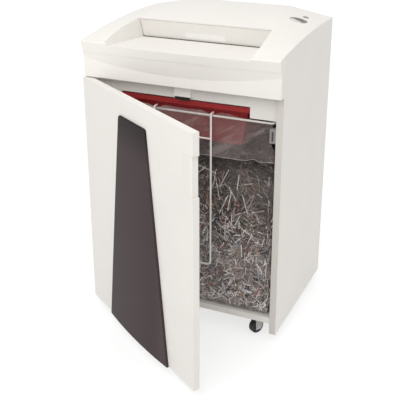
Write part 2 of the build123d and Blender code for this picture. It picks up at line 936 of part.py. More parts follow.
def bag_retainer():
    """Long wire loop with a rung, hooked over the front of the hoop."""
    reach = retainer_width / 2
    hook_height = film_top + retainer_radius + seat_gap
    hook_end = retainer_front + retainer_hook
    points = [(reach, hook_end, hook_height), (reach, retainer_front, hook_height),
              (reach, retainer_front, retainer_bottom), (0, retainer_front, retainer_bottom)]
    corners = [retainer_bend, retainer_corner]
    right, left = both_sides(wire(points, retainer_radius, corners))
    rung = bar_across(retainer_rung_radius, (-reach, reach), retainer_front, retainer_rung)
    return right + left + rung


bag_front = wire_front + wire_radius + film_clearance
bag_half = wire_half - wire_radius - film_clearance
bag_back = wire_back - wire_radius - film_clearance
bag_bottom = base_top + seat_gap


bag_neck = wire_height - bag_neck_drop
bag_belly = wire_height - bag_belly_drop


def bag_plan(inset, bulge, z):
    """Plan of the bag at one height, a set distance in from its outside, with a share of its bulge."""
    front = bag_front + inset - bulge * bag_front_bulge
    back = bag_back - inset + bulge * bag_back_bulge
    width = 2 * (bag_half - inset + bulge * bag_side_bulge)
    return Pos(0, (front + back) / 2, z) * RectangleRounded(width, back - front, bag_corner - inset)


def bag_lower(inset, bottom, top):
    """The upright, bulging lower part of the bag."""
    return extrude(bag_plan(inset, 1, bottom), amount=top - bottom)


def bag_solid(inset, bottom):
    """The bag up to the wire hoop: a bulging belly that narrows to a neck inside the hoop."""
    shoulder = loft([bag_plan(inset, 1, bag_belly), bag_plan(inset, 0, bag_neck)], ruled=True)
    neck = extrude(bag_plan(inset, 0, bag_neck), amount=film_top - bag_neck)
    return bag_lower(inset, bottom, bag_belly) + shoulder + neck


def waste_bag():
    """Open bag whose front edge folds over the wire and hangs as a collar."""
    bag = bag_solid(0, bag_bottom) - bag_solid(film, bag_bottom + film)
    reach = wire_half - collar_half_margin
    collar = block((-reach, reach), (collar_front, collar_front + film), (collar_bottom, film_top))
    fold_reach = bag_half - bag_corner
    fold = block((-fold_reach, fold_reach), (collar_front, bag_front + film), (film_top - film, film_top))
    return bag + collar + fold


def paper_shreds():
    """Loose fill of shredded paper inside the bag."""
    inset = film + shred_gap
    fill = bag_lower(inset, bag_bottom + inset, shred_height)
    rim = fill.faces().sort_by(Axis.Z)[-1].edges()
    return fillet(rim, shred_edge)


# Cutting head
def cutter_plate_outline(front, back):
    width = back - front
    height = plate_top - deck_top
    plate = RectangleRounded(width, height, plate_corner)
    return Pos((front + back) / 2, (plate_top + deck_top) / 2) * plate


plate_front = cutter_front - plate_front_margin
plate_back = cutter_back + plate_back_margin
tie_depths = (plate_front + tie_inset, plate_back - tie_inset)
tie_heights = (deck_top + tie_inset, plate_top - tie_inset)
tie_places = [(y, z) for y in tie_depths for z in tie_heights]


def cutter_plates():
    """Steel end plates of the cutting head; the right one also carries the drive."""
    drive_back = motor_depth + plate_drive_back_margin
    right = side_extrusion(cutter_plate_outline(plate_front, drive_back), (plate_inner, plate_outer))
    left = side_extrusion(cutter_plate_outline(plate_front, plate_back), (-plate_outer, -plate_inner))
    through = (-beyond, beyond)
    for y in (cutter_front, cutter_back):
        bore = bar_across(bearing_radius, through, y, cutter_height)
        right -= bore
        left -= bore
    right -= bar_across(idler_shaft_radius + running_clearance, through, idler_depth, cutter_height)
    right -= bar_across(gear_seat_radius, through, motor_depth, cutter_height)
    return left, right


def cutter_tie_bars():
    return [bar_across(tie_radius, (-plate_inner, plate_inner), y, z) for y, z in tie_places]


def cutter(y, first_disc, drive_reach):
    """Cutting roller: discs on a core, journals at both ends and a seat for gears on the right."""
    core_end = plate_inner - core_end_gap
    profile = [(-plate_outer, 0), (-plate_outer, journal_radius)]
    profile += [(-core_end, journal_radius), (-core_end, core_radius)]
    for i in range(disc_count):
        start = first_disc + i * disc_pitch
        stop = start + disc_width
        profile += [(start, core_radius), (start, disc_radius), (stop, disc_radius), (stop, core_radius)]
    profile += [(core_end, core_radius), (core_end, journal_radius), (plate_outer, journal_radius)]
    profile += [(plate_outer, gear_seat_radius), (drive_reach, gear_seat_radius), (drive_reach, 0)]
    roller = revolve(make_face(Polyline(*profile, close=True)), axis=Axis.X)
    return Pos(0, y, cutter_height) * roller


def cutters():
    """Front and rear rollers, with the discs of each in the gaps of the other."""
    run = (disc_count - 1) * disc_pitch
    first = -(run + disc_pitch / 2 + disc_width) / 2
    front = cutter(cutter_front, first, sync_gear_x + sync_gear_width)
    back = cutter(cutter_back, first + disc_pitch / 2, drive_end)
    return front, back


def cutter_bearings():
    rings = []
    for x in (-plate_outer, plate_inner):
        for y in (cutter_front, cutter_back):
            span = (x, x + plate_thickness)
            ring = bar_across(bearing_radius, span, y, cutter_height)
            rings.append(ring - bar_across(journal_radius + running_clearance, span, y, cutter_height))
    return rings


def stripper_combs():
    """Two combs whose fingers clean the gaps between the discs."""
    run = (disc_count - 1) * disc_pitch
    first = -(run + disc_pitch / 2 + disc_width) / 2
    combs = []
    for y, away, start in ((cutter_front, -1, first), (cutter_back, 1, first + disc_pitch / 2)):
        outer = y + away * (plate_front_margin - running_clearance)
        inner = outer - away * comb_bar
        tip = y + away * (core_radius + comb_tip_gap)
        height = (cutter_height - comb_height / 2, cutter_height + comb_height / 2)
        comb = block((-plate_inner, plate_inner), sorted((outer, inner)), height)
        finger_height = (cutter_height - comb_finger_height / 2, cutter_height + comb_finger_height / 2)
        fingers = []
        for i in range(disc_count - 1):
            middle = start + i * disc_pitch + (disc_pitch + disc_width) / 2
            span = (middle - comb_finger_width / 2, middle + comb_finger_width / 2)
            fingers.append(block(span, sorted((inner, tip)), finger_height))
        combs.append(comb + fingers)
    return combs


def paper_guides():
    """Two bent strips that lead the sheet from the slot into the nip of the cutters."""
    middle = (cutter_front + cutter_back) / 2
    low = cutter_height + guide_bottom_rise
    high = floor_height(slot_depth) - housing_wall - guide_top_gap
    guides = []
    for away in (-1, 1):
        top = middle + away * guide_mouth / 2
        bottom = middle + away * guide_throat / 2
        back = away * guide_thickness
        outline = Polyline((top, high), (bottom, low), (bottom + back, low), (top + back, high), close=True)
        guides.append(side_extrusion(make_face(outline), (-plate_inner, plate_inner)))
    return guides


# Drive train
def spur_gear(teeth, module, width, bore, phase):
    """Spur gear about X with a tooth at the phase angle, measured from +Y towards +Z."""
    pitch_radius = module * teeth / 2
    tip = pitch_radius + tooth_tip_share * module
    root = pitch_radius - tooth_root_share * module
    pitch_angle = 2 * math.pi / teeth
    points = []
    for i in range(teeth):
        middle = math.radians(phase) + i * pitch_angle
        left_flank = [(root, -tooth_root_half), (tip, -tooth_tip_half)]
        right_flank = [(tip, tooth_tip_half), (root, tooth_root_half)]
        for radius, share in left_flank + right_flank:
            angle = middle + share * pitch_angle
            points.append((radius * math.cos(angle), radius * math.sin(angle)))
    outline = make_face(Polyline(*points, close=True))
    if bore > 0:
        outline -= Circle(bore)
    return side_extrusion(outline, (0, width))


def front_sync_gear():
    gear = spur_gear(sync_teeth, sync_module, sync_gear_width, gear_seat_radius, 0)
    return Pos(sync_gear_x, cutter_front, cutter_height) * gear


def rear_gear_cluster():
    """Sync gear and larger drive gear in one piece on the rear roller."""
    phase = half_turn + half_turn / sync_teeth
    sync_width = drive_gear_x - sync_gear_x
    sync = spur_gear(sync_teeth, sync_module, sync_width, gear_seat_radius, phase)
    drive = spur_gear(drive_teeth, drive_module, drive_gear_width, gear_seat_radius, 0)
    sync_piece = Pos(sync_gear_x, cutter_back, cutter_height) * sync
    return sync_piece + Pos(drive_gear_x, cutter_back, cutter_height) * drive


def idler_gear():
    """Idler with its own shaft in the right cutter plate."""
    half_tooth = half_turn / drive_teeth
    gear = spur_gear(drive_teeth, drive_module, drive_gear_width, 0, half_turn + half_tooth)
    shaft = bar_across(idler_shaft_radius, (plate_inner, drive_gear_x), idler_depth, cutter_height)
    collar_span = (plate_outer + running_clearance, drive_gear_x)
    collar = bar_across(2 * idler_shaft_radius, collar_span, idler_depth, cutter_height)
    return Pos(drive_gear_x, idler_depth, cutter_height) * gear + shaft + collar


def motor_pinion():
    """Pinion cut on the end of the motor's shaft."""
    idler_phase = half_turn + half_turn / drive_teeth
    tooth_at_mesh = idler_phase % (2 * half_turn / drive_teeth) == 0
    phase = half_turn + (half_turn / pinion_teeth if tooth_at_mesh else 0)
    gear = spur_gear(pinion_teeth, drive_module, drive_gear_width, 0, phase)
    shaft_span = (plate_inner - pinion_shaft_length, drive_gear_x)
    shaft = bar_across(pinion_shaft_radius, shaft_span, motor_depth, cutter_height)
    return Pos(drive_gear_x, motor_depth, cutter_height) * gear + shaft


def motor():
    """Flanged motor on the inner face of the right cutter plate."""
    end = plate_inner
    start = end - motor_length
    body = bar_across(motor_radius, (start, end), motor_depth, cutter_height)
    body += bar_across(motor_flange_radius, (end - motor_flange, end), motor_depth, cutter_height)
    body += bar_across(motor_cap_radius, (start - motor_cap_length, start), motor_depth, cutter_height)
    middle = (start + end) / 2
    box_top = cutter_height + motor_radius + motor_box_height
    box_x = (middle - motor_box_width / 2, middle + motor_box_width / 2)
    box_y = (motor_depth - motor_box_depth / 2, motor_depth + motor_box_depth / 2)
    body += block(box_x, box_y, (cutter_height, box_top))
    bore_span = (end - pinion_shaft_length - gear_face_gap, end)
    return body - bar_across(pinion_shaft_radius + running_clearance, bore_span, motor_depth, cutter_height)


def motor_capacitor():
    """Capacitor that stands on the deck beside the motor's end."""
    top = deck_top + capacitor_height
    can = bar_up(capacitor_radius, capacitor_x, motor_depth, (deck_top, top))
    cap_span = (top, top + capacitor_cap_height)
    return can + bar_up(capacitor_cap_radius, capacitor_x, motor_depth, cap_span)


def control_board():
    """Circuit board on standoffs, with a row of relays."""
    low = deck_top + circuit_standoff
    x = (circuit_x - circuit_width / 2, circuit_x + circuit_width / 2)
    y = (circuit_centre_depth - circuit_depth / 2, circuit_centre_depth + circuit_depth / 2)
    circuit = block(x, y, (low, low + circuit_thickness))
    for post_x in (x[0] + circuit_standoff_inset, x[1] - circuit_standoff_inset):
        for post_y in (y[0] + circuit_standoff_inset, y[1] - circuit_standoff_inset):
            circuit += bar_up(circuit_standoff_radius, post_x, post_y, (deck_top, low))
    step = circuit_width / relay_count
    relay_low = low + circuit_thickness
    for i in range(relay_count):
        middle = x[0] + step * (i + 0.5)
        circuit += block((middle - relay_width / 2, middle + relay_width / 2),
                         (circuit_centre_depth - relay_depth / 2, circuit_centre_depth + relay_depth / 2),
                         (relay_low, relay_low + relay_height))
    return circuit


def mains_inlet():
    """Three-pin appliance inlet through the back panel."""
    body_x, body_z = inlet_body_range(0)
    back = cabinet_depth + inlet_flange
    flange = Box(inlet_flange_width, inlet_flange, inlet_flange_height)
    flange = fillet(flange.edges().filter_by(Axis.Y), inlet_corner)
    inlet = Pos(inlet_x, cabinet_depth + inlet_flange / 2, inlet_height) * flange
    inlet += block(body_x, (cabinet_depth - inlet_body_depth, cabinet_depth), body_z)
    hollow_x, hollow_z = inlet_body_range(-inlet_wall)
    floor = back - inlet_cavity_depth
    inlet -= block(hollow_x, (floor, back), hollow_z)
    for i in (-1, 0, 1):
        x = inlet_x + i * inlet_pin_spacing
        inlet += block((x - inlet_pin_width / 2, x + inlet_pin_width / 2), (floor, floor + inlet_pin_length),
                       (inlet_height - inlet_pin_height / 2, inlet_height + inlet_pin_height / 2))
    return inlet


# Castors, made about their own swivel axis and then set in place
castor_plate_low = castor_height - castor_plate
castor_boss_low = castor_plate_low - castor_boss
castor_bridge_top = castor_boss_low - seat_gap
castor_bridge_low = castor_bridge_top - castor_bridge
castor_fork_half = wheel_width / 2 + castor_cheek_gap


def castor_plates():
    plates = []
    stem = bar_up(castor_stem_radius + running_clearance, 0, 0, (castor_boss_low, castor_height))
    reach = castor_plate_size / 2
    for x, y in castor_places.values():
        plate = block((-reach, reach), (-reach, reach), (castor_plate_low, castor_height))
        plate = plate + bar_up(castor_boss_radius, 0, 0, (castor_boss_low, castor_plate_low)) - stem
        plates.append(Pos(x, y, 0) * plate)
    for hole in castor_screw_holes():
        plates = [plate - hole for plate in plates]
    return plates


def castor_fork():
    """Fork with two cheeks, a bridge over the wheel and a stem up into the plate."""
    outer = castor_fork_half + castor_cheek
    bridge_y = (-castor_bridge_back, castor_bridge_front)
    bridge = block((-outer, outer), bridge_y, (castor_bridge_low, castor_bridge_top))
    stem = bar_up(castor_stem_radius, 0, 0, (castor_bridge_low, castor_height - castor_plate))
    low = wheel_radius - castor_cheek_half
    foot = (castor_trail - castor_cheek_half, castor_trail + castor_cheek_half)
    outline = Polyline((-castor_bridge_back, castor_bridge_top), (castor_bridge_front, castor_bridge_top),
                       (foot[1], low), (foot[0], low), close=True)
    cheek = side_extrusion(make_face(outline), (castor_fork_half, outer))
    fork = bridge + stem
    for side in both_sides(cheek):
        fork += side
    return fork - bar_across(axle_radius, (-outer, outer), castor_trail, wheel_radius)


def castor_wheel():
    """Tyre and hub in one, with a shallow recess on each face."""
    reach = wheel_width / 2
    wheel = bar_across(wheel_radius, (-reach, reach), castor_trail, wheel_radius)
    wheel = fillet(wheel.edges().filter_by(GeomType.CIRCLE), wheel_edge_radius)
    for span in ((-reach, wheel_recess - reach), (reach - wheel_recess, reach)):
        ring = bar_across(wheel_recess_radius, span, castor_trail, wheel_radius)
        wheel -= ring - bar_across(wheel_hub_radius, span, castor_trail, wheel_radius)
    return wheel - bar_across(axle_radius + running_clearance, (-reach, reach), castor_trail, wheel_radius)


def castor_axle():
    outer = castor_fork_half + castor_cheek
    axle = bar_across(axle_radius, (-outer, outer), castor_trail, wheel_radius)
    for span in ((-outer - axle_head, -outer), (outer, outer + axle_head)):
        axle += bar_across(axle_head_radius, span, castor_trail, wheel_radius)
    return axle


def castor_screws():
    screws = []
    shank_span = (castor_plate_low, castor_plate_low + castor_screw_length)
    head_span = (castor_plate_low - castor_screw_head, castor_plate_low)
    for x, y in castor_screw_places():
        shank = bar_up(castor_screw_radius, x, y, shank_span)
        screws.append(shank + bar_up(castor_screw_head_radius, x, y, head_span))
    return screws


# The whole machine, one entry for each named piece
left_panel, right_panel = side_panels()
left_plate, right_plate = cutter_plates()
front_cutter, rear_cutter = cutters()
pieces = {
    "left_side_panel": left_panel,
    "right_side_panel": right_panel,
    "base_panel": base_panel(),
    "back_panel": back_panel(),
    "machine_deck": machine_deck(),
    "front_rail": front_rail(),
    "front_fascia": front_fascia(),
    "top_housing": top_housing(),
    "safety_flap": safety_flap(),
    "flap_window": flap_window(),
    "rocker_switch": rocker_switch(),
    "ready_button": ready_button(),
    "door_panel": swung(door_panel()),
    "door_inlay": swung(door_inlay()),
    "door_grip": swung(door_grip()),
    "hinge_cabinet_leaves": hinge_leaf_set((-hinge_leaf, 0), False),
    "hinge_door_leaves": [swung(leaf) for leaf in hinge_leaf_set((door_back, door_back + hinge_leaf), True)],
    "hinge_pins": hinge_pins(),
    "magnetic_catch": magnetic_catch(),
    "catch_magnet": catch_magnet(),
    "catch_plate": swung(catch_plate()),
    "door_sensor_housing": door_sensor_housing(),
    "door_sensor": door_sensor(),
    "shred_chute": shred_chute(),
    "bag_frame": bag_frame(),
    "frame_runners": frame_runners(),
    "bag_retainer": bag_retainer(),
    "waste_bag": waste_bag(),
    "paper_shreds": paper_shreds(),
    "left_cutter_plate": left_plate,
    "right_cutter_plate": right_plate,
    "cutter_tie_bars": cutter_tie_bars(),
    "front_cutter": front_cutter,
    "rear_cutter": rear_cutter,
    "cutter_bearings": cutter_bearings(),
    "stripper_combs": stripper_combs(),
    "paper_guides": paper_guides(),
    "front_sync_gear": front_sync_gear(),
    "rear_gear_cluster": rear_gear_cluster(),
    "idler_gear": idler_gear(),
    "motor": motor(),
    "motor_pinion": motor_pinion(),
    "motor_capacitor": motor_capacitor(),
    "control_board": control_board(),
    "mains_inlet": mains_inlet(),
    "castor_plates": castor_plates(),
    "castor_screws": castor_screws(),
}
for place, (castor_place_x, castor_place_y) in castor_places.items():
    seat = Pos(castor_place_x, castor_place_y, 0) * Rot(0, 0, castor_rest_angles[place])
    pieces[f"castor_fork_{place}"] = seat * castor_fork()
    pieces[f"castor_wheel_{place}"] = seat * castor_wheel()
    pieces[f"castor_axle_{place}"] = seat * castor_axle()

# The origin is moved to the floor under the middle of the machine's box, with the door at its rest angle
groups = {name: shape if isinstance(shape, list) else [shape] for name, shape in pieces.items()}
boxes = [solid.bounding_box() for group in groups.values() for solid in group]
middle_x = (min(box.min.X for box in boxes) + max(box.max.X for box in boxes)) / 2
middle_y = (min(box.min.Y for box in boxes) + max(box.max.Y for box in boxes)) / 2
to_origin = Pos(-middle_x, -middle_y, 0)

for name, group in groups.items():
    placed = [to_origin * solid for solid in group]
    export_step(placed[0] if len(placed) == 1 else Compound(placed), f"parts/{name}.step")
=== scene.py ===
import bpy
import bmesh
import json
import math
import random
from mathutils import Euler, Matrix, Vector, noise


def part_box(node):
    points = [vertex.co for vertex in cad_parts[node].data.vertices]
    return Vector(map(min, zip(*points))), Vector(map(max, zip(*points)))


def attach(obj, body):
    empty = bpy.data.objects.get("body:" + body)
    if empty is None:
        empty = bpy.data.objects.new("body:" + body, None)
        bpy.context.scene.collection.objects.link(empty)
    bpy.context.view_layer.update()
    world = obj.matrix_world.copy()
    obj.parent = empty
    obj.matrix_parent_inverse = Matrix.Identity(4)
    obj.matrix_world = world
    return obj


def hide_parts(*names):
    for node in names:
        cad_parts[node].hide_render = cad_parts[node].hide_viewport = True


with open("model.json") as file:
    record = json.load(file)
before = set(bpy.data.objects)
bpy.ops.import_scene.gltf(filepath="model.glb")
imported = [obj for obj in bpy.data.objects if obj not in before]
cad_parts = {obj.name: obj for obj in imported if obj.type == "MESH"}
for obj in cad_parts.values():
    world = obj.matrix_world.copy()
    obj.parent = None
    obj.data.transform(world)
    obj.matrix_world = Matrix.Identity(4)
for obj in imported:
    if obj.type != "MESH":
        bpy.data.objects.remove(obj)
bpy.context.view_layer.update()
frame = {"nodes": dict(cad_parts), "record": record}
nodes = frame["nodes"]

# The cabinet's millimetres start at the side panels' front edges, in the middle of its width, on the floor
CABINET_HALF = 295.0
panel_low, panel_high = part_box("right_side_panel")
OFFSET_X = panel_high[0] - CABINET_HALF / 1000
OFFSET_Y = panel_low[1]
RIDGE_GAIN = 1.6


def at(x, y, z):
    """A place in the cabinet's millimetres, as a point of the frame in metres."""
    return Vector((x / 1000 + OFFSET_X, y / 1000 + OFFSET_Y, z / 1000))


def smooth_step(value, start, end):
    """0 before start, 1 after end, and a soft rise between them."""
    share = max(0.0, min(1.0, (value - start) / (end - start)))
    return share * share * (3 - 2 * share)


def ripple(x, y, z):
    """Smooth noise, from about -1 to 1."""
    return noise.noise(Vector((x, y, z)))


def ridge(x, y, z):
    """Noise folded into sharp ridges, from 0 to 1."""
    return (1 - min(1.0, abs(ripple(x, y, z)) * RIDGE_GAIN)) ** 2


def add_object(mesh, name):
    """A built mesh as an object of the scene."""
    data = bpy.data.meshes.new(name)
    mesh.to_mesh(data)
    mesh.free()
    thing = bpy.data.objects.new(name, data)
    bpy.context.scene.collection.objects.link(thing)
    return thing


# Materials
GLOSS_SPREAD = 0.06
GRAIN_STRENGTH = 0.6
MOTTLE_LOW = 0.3
MOTTLE_HIGH = 0.7
FLAT_POINTINESS = 0.5
EDGE_POINTINESS = 0.56
FACING_FRONT = (-0.95, -0.8)
CRESCENT_START = 0.86


def shader_of(tree):
    return next(n for n in tree.nodes if n.type == "BSDF_PRINCIPLED")


def new_material(name):
    material = bpy.data.materials.new(name)
    material.use_nodes = True
    tree = material.node_tree
    return material, tree, shader_of(tree)


def add_node(tree, kind, **values):
    node = tree.nodes.new(kind)
    for key, value in values.items():
        setattr(node, key, value)
    return node


def object_noise(tree, scale, detail=4.0, roughness=0.55, stretch=(1, 1, 1), lean=0.0):
    """Noise in the piece's own metres, turned by lean in the front plane and stretched along its axes."""
    place = add_node(tree, "ShaderNodeTexCoord")
    turn = add_node(tree, "ShaderNodeMapping")
    turn.inputs["Rotation"].default_value = (0, lean, 0)
    mapping = add_node(tree, "ShaderNodeMapping")
    mapping.inputs["Scale"].default_value = stretch
    tree.links.new(place.outputs["Object"], turn.inputs["Vector"])
    tree.links.new(turn.outputs["Vector"], mapping.inputs["Vector"])
    texture = add_node(tree, "ShaderNodeTexNoise")
    texture.inputs["Scale"].default_value = scale
    texture.inputs["Detail"].default_value = detail
    texture.inputs["Roughness"].default_value = roughness
    tree.links.new(mapping.outputs["Vector"], texture.inputs["Vector"])
    return texture.outputs["Fac"]


def axes(tree, kind):
    """X, Y and Z of one kind of coordinate."""
    place = add_node(tree, "ShaderNodeTexCoord")
    parts = add_node(tree, "ShaderNodeSeparateXYZ")
    tree.links.new(place.outputs[kind], parts.inputs["Vector"])
    return parts.outputs


def ramp(tree, source, stops):
    """Colours picked by a value, as (place, colour) stops."""
    node = add_node(tree, "ShaderNodeValToRGB")
    elements = node.color_ramp.elements
    while len(elements) < len(stops):
        elements.new(0.5)
    for element, (place, colour) in zip(elements, stops):
        element.position = place
        element.color = (*colour, 1.0)
    tree.links.new(source, node.inputs["Fac"])
    return node.outputs["Color"]


def map_range(tree, source, start, end, low, high, smooth=False):
    """A value moved from one span to another, held at the ends."""
    node = add_node(tree, "ShaderNodeMapRange")
    if smooth:
        node.interpolation_type = "SMOOTHSTEP"
    for name, value in (("From Min", start), ("From Max", end), ("To Min", low), ("To Max", high)):
        node.inputs[name].default_value = value
    tree.links.new(source, node.inputs["Value"])
    return node.outputs["Result"]


def combine(tree, kind, first, second):
    """Two values put together by a maths step; either may be a number."""
    node = add_node(tree, "ShaderNodeMath", operation=kind)
    for socket, value in zip(node.inputs, (first, second)):
        if isinstance(value, (int, float)):
            socket.default_value = value
        else:
            tree.links.new(value, socket)
    return node.outputs["Value"]


def vector_step(tree, kind, source, other=None):
    """A maths step on a vector, with a fixed second vector where it takes one."""
    node = add_node(tree, "ShaderNodeVectorMath", operation=kind)
    if other is not None:
        node.inputs[1].default_value = other
    tree.links.new(source, node.inputs[0])
    return node.outputs


def overlay(tree, under, over, share, blend="MIX"):
    """A fixed colour laid over another, by a share from 0 to 1."""
    mix = add_node(tree, "ShaderNodeMix", data_type="RGBA", blend_type=blend)
    mix.inputs["B"].default_value = (*over, 1.0)
    tree.links.new(share, mix.inputs["Factor"])
    tree.links.new(under, mix.inputs["A"])
    return mix.outputs["Result"]


def add_bump(tree, shader, height, strength, distance):
    bump = add_node(tree, "ShaderNodeBump")
    bump.inputs["Strength"].default_value = strength
    bump.inputs["Distance"].default_value = distance
    tree.links.new(height, bump.inputs["Height"])
    tree.links.new(bump.outputs["Normal"], shader.inputs["Normal"])
    return bump


def shade(colour, factor):
    """A colour made darker or paler, kept between 0 and 1."""
    return tuple(min(1.0, max(0.0, c * factor)) for c in colour)


def surface(name, colour, rough, grain, grain_depth, mottle, mottle_amount, metallic=0.0, specular=0.5,
            edge=0.0, edge_lift=0.0, stretch=(1, 1, 1)):
    """A moulded, coated or machined surface: faint mottling, fine grain, uneven gloss, softened edges."""
    material, tree, shader = new_material(name)
    shader.inputs["Metallic"].default_value = metallic
    shader.inputs["Specular IOR Level"].default_value = specular
    mottling = object_noise(tree, mottle, 3.0, 0.6, stretch)
    low = shade(colour, 1 - mottle_amount)
    high = shade(colour, 1 + mottle_amount)
    tint = ramp(tree, mottling, [(MOTTLE_LOW, low), (MOTTLE_HIGH, high)])
    # Edge lift makes sharp convex edges paler
    if edge_lift:
        geometry = add_node(tree, "ShaderNodeNewGeometry")
        black_to_white = [(FLAT_POINTINESS, (0, 0, 0)), (EDGE_POINTINESS, (1, 1, 1))]
        paler_edges = ramp(tree, geometry.outputs["Pointiness"], black_to_white)
        tint = overlay(tree, tint, shade(colour, 1 + edge_lift), paler_edges)
    tree.links.new(tint, shader.inputs["Base Color"])
    smoothest = max(0.02, rough - GLOSS_SPREAD)
    roughest = min(1.0, rough + GLOSS_SPREAD)
    tree.links.new(map_range(tree, mottling, 0.0, 1.0, smoothest, roughest), shader.inputs["Roughness"])
    bump = add_bump(tree, shader, object_noise(tree, grain, 2.0, 0.5, stretch), GRAIN_STRENGTH, grain_depth)
    if edge:
        bevel = add_node(tree, "ShaderNodeBevel", samples=6)
        bevel.inputs["Radius"].default_value = edge
        tree.links.new(bevel.outputs["Normal"], bump.inputs["Normal"])
    return material


# Grain and mottle are how fine the noise is; grain depth and edge radius are in metres
WHITE = (0.83, 0.805, 0.765)
BOARD = (0.84, 0.815, 0.775)
finishes = {
    "side_board": dict(colour=shade(BOARD, 0.96), rough=0.48, grain=700, grain_depth=0.00005, mottle=7,
                       mottle_amount=0.015, edge=0.0012),
    "door_board": dict(colour=shade(BOARD, 0.93), rough=0.46, grain=700, grain_depth=0.00005, mottle=6,
                       mottle_amount=0.015, edge=0.0012),
    "inner_board": dict(colour=shade(BOARD, 0.9), rough=0.55, grain=600, grain_depth=0.00006, mottle=9,
                        mottle_amount=0.03, edge=0.0008),
    "housing": dict(colour=WHITE, rough=0.5, grain=1500, grain_depth=0.00006, mottle=8,
                    mottle_amount=0.012, edge=0.0016),
    "grip": dict(colour=shade(BOARD, 0.92), rough=0.5, grain=1500, grain_depth=0.00006, mottle=8,
                 mottle_amount=0.012, edge=0.0012),
    "flap": dict(colour=shade(WHITE, 0.93), rough=0.45, grain=1500, grain_depth=0.00005, mottle=10,
                 mottle_amount=0.02, edge=0.0006),
    "window": dict(colour=(0.86, 0.85, 0.83), rough=0.25, grain=900, grain_depth=0.00002, mottle=14,
                   mottle_amount=0.03, edge=0.0004),
    "switch": dict(colour=(0.66, 0.64, 0.61), rough=0.25, grain=800, grain_depth=0.00001, mottle=30,
                   mottle_amount=0.04, edge=0.0012),
    "button": dict(colour=(0.16, 0.155, 0.15), rough=0.3, grain=800, grain_depth=0.00001, mottle=40,
                   mottle_amount=0.1, edge=0.0005),
    "inlay": dict(colour=(0.043, 0.0285, 0.030), rough=0.5, grain=1400, grain_depth=0.00012, mottle=14,
                  mottle_amount=0.08, specular=0.14, edge=0.002, edge_lift=0.5),
    "hinge_steel": dict(colour=(0.60, 0.59, 0.57), rough=0.32, grain=900, grain_depth=0.00002,
                        mottle=60, mottle_amount=0.08, metallic=1.0, stretch=(1, 1, 8)),
    # The catch's grey is partly its own colour and partly painted shade
    "catch": dict(colour=(0.27, 0.258, 0.247), rough=0.4, grain=1200, grain_depth=0.00003, mottle=30,
                  mottle_amount=0.04, edge=0.0006),
    "magnet": dict(colour=(0.045, 0.045, 0.05), rough=0.4, grain=1500, grain_depth=0.00004, mottle=90,
                   mottle_amount=0.25),
    "sensor": dict(colour=(0.012, 0.012, 0.013), rough=0.25, grain=900, grain_depth=0.00002, mottle=60,
                   mottle_amount=0.3, edge=0.0006),
    "chute": dict(colour=(0.24, 0.012, 0.014), rough=0.36, grain=800, grain_depth=0.00005, mottle=16,
                  mottle_amount=0.08, edge=0.0012, edge_lift=0.25),
    "wire": dict(colour=(0.80, 0.775, 0.74), rough=0.3, grain=1200, grain_depth=0.00003, mottle=40,
                 mottle_amount=0.03),
    "runner": dict(colour=(0.72, 0.70, 0.67), rough=0.4, grain=1200, grain_depth=0.00003, mottle=30,
                   mottle_amount=0.03, edge=0.0006),
    "steel": dict(colour=(0.50, 0.50, 0.51), rough=0.3, grain=500, grain_depth=0.00003, mottle=25,
                  mottle_amount=0.10, metallic=1.0, edge=0.0005, stretch=(8, 1, 1)),
    "motor": dict(colour=(0.06, 0.062, 0.066), rough=0.45, grain=900, grain_depth=0.00005, mottle=20,
                  mottle_amount=0.15, edge=0.001),
    "gear": dict(colour=(0.05, 0.05, 0.052), rough=0.45, grain=1100, grain_depth=0.00005, mottle=40,
                 mottle_amount=0.2, edge=0.0004),
    "capacitor": dict(colour=(0.66, 0.66, 0.66), rough=0.3, grain=700, grain_depth=0.00002, mottle=20,
                      mottle_amount=0.06, metallic=1.0, stretch=(6, 6, 1)),
    "circuit": dict(colour=(0.02, 0.13, 0.05), rough=0.35, grain=900, grain_depth=0.00003, mottle=120,
                    mottle_amount=0.35),
    "inlet": dict(colour=(0.015, 0.015, 0.016), rough=0.4, grain=1200, grain_depth=0.00004, mottle=40,
                  mottle_amount=0.2, edge=0.0005),
    "castor_plate": dict(colour=(0.55, 0.55, 0.54), rough=0.35, grain=900, grain_depth=0.00003,
                         mottle=60, mottle_amount=0.1, metallic=1.0, edge=0.0005),
    "castor_fork": dict(colour=(0.50, 0.49, 0.475), rough=0.35, grain=1300, grain_depth=0.00005,
                        mottle=40, mottle_amount=0.1, edge=0.0008),
    "castor_wheel": dict(colour=(0.012, 0.012, 0.012), rough=0.55, grain=700, grain_depth=0.00010,
                         mottle=50, mottle_amount=0.3, edge=0.0006),
}
materials = {name: surface(name, **finish) for name, finish in finishes.items()}


def paint_shade(material, over, share_of, blend="MIX"):
    """Lays a darker colour over a finish as painted shade, by a share that share_of builds in its tree."""
    tree = material.node_tree
    base = shader_of(tree).inputs["Base Color"]
    tree.links.new(overlay(tree, base.links[0].from_socket, over, share_of(tree), blend), base)


def front_faces(tree):
    """1 on the faces that look to the front."""
    return map_range(tree, axes(tree, "Normal")["Y"], *FACING_FRONT, 1.0, 0.0)


def top_part(top, reach):
    """A share that grows to 1 over the uppermost reach, in the piece's own metres."""
    return lambda tree: map_range(tree, axes(tree, "Object")["Z"], top - reach, top, 0.0, 1.0, True)


def outside_circle(middle, radius):
    """A share that is 1 outside an upright cylinder, in the piece's own metres."""
    def share(tree):
        place = add_node(tree, "ShaderNodeTexCoord")
        away = vector_step(tree, "SUBTRACT", place.outputs["Object"], middle)["Vector"]
        flat = vector_step(tree, "MULTIPLY", away, (1, 1, 0))["Vector"]
        distance = vector_step(tree, "LENGTH", flat)["Value"]
        return map_range(tree, distance, radius * CRESCENT_START, radius, 0, 1, True)
    return share


def middle_of(name):
    """The middle of a CAD piece, in its own space."""
    low, high = (Vector(corner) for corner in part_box(name))
    return nodes[name].matrix_world.inverted() @ ((low + high) / 2)
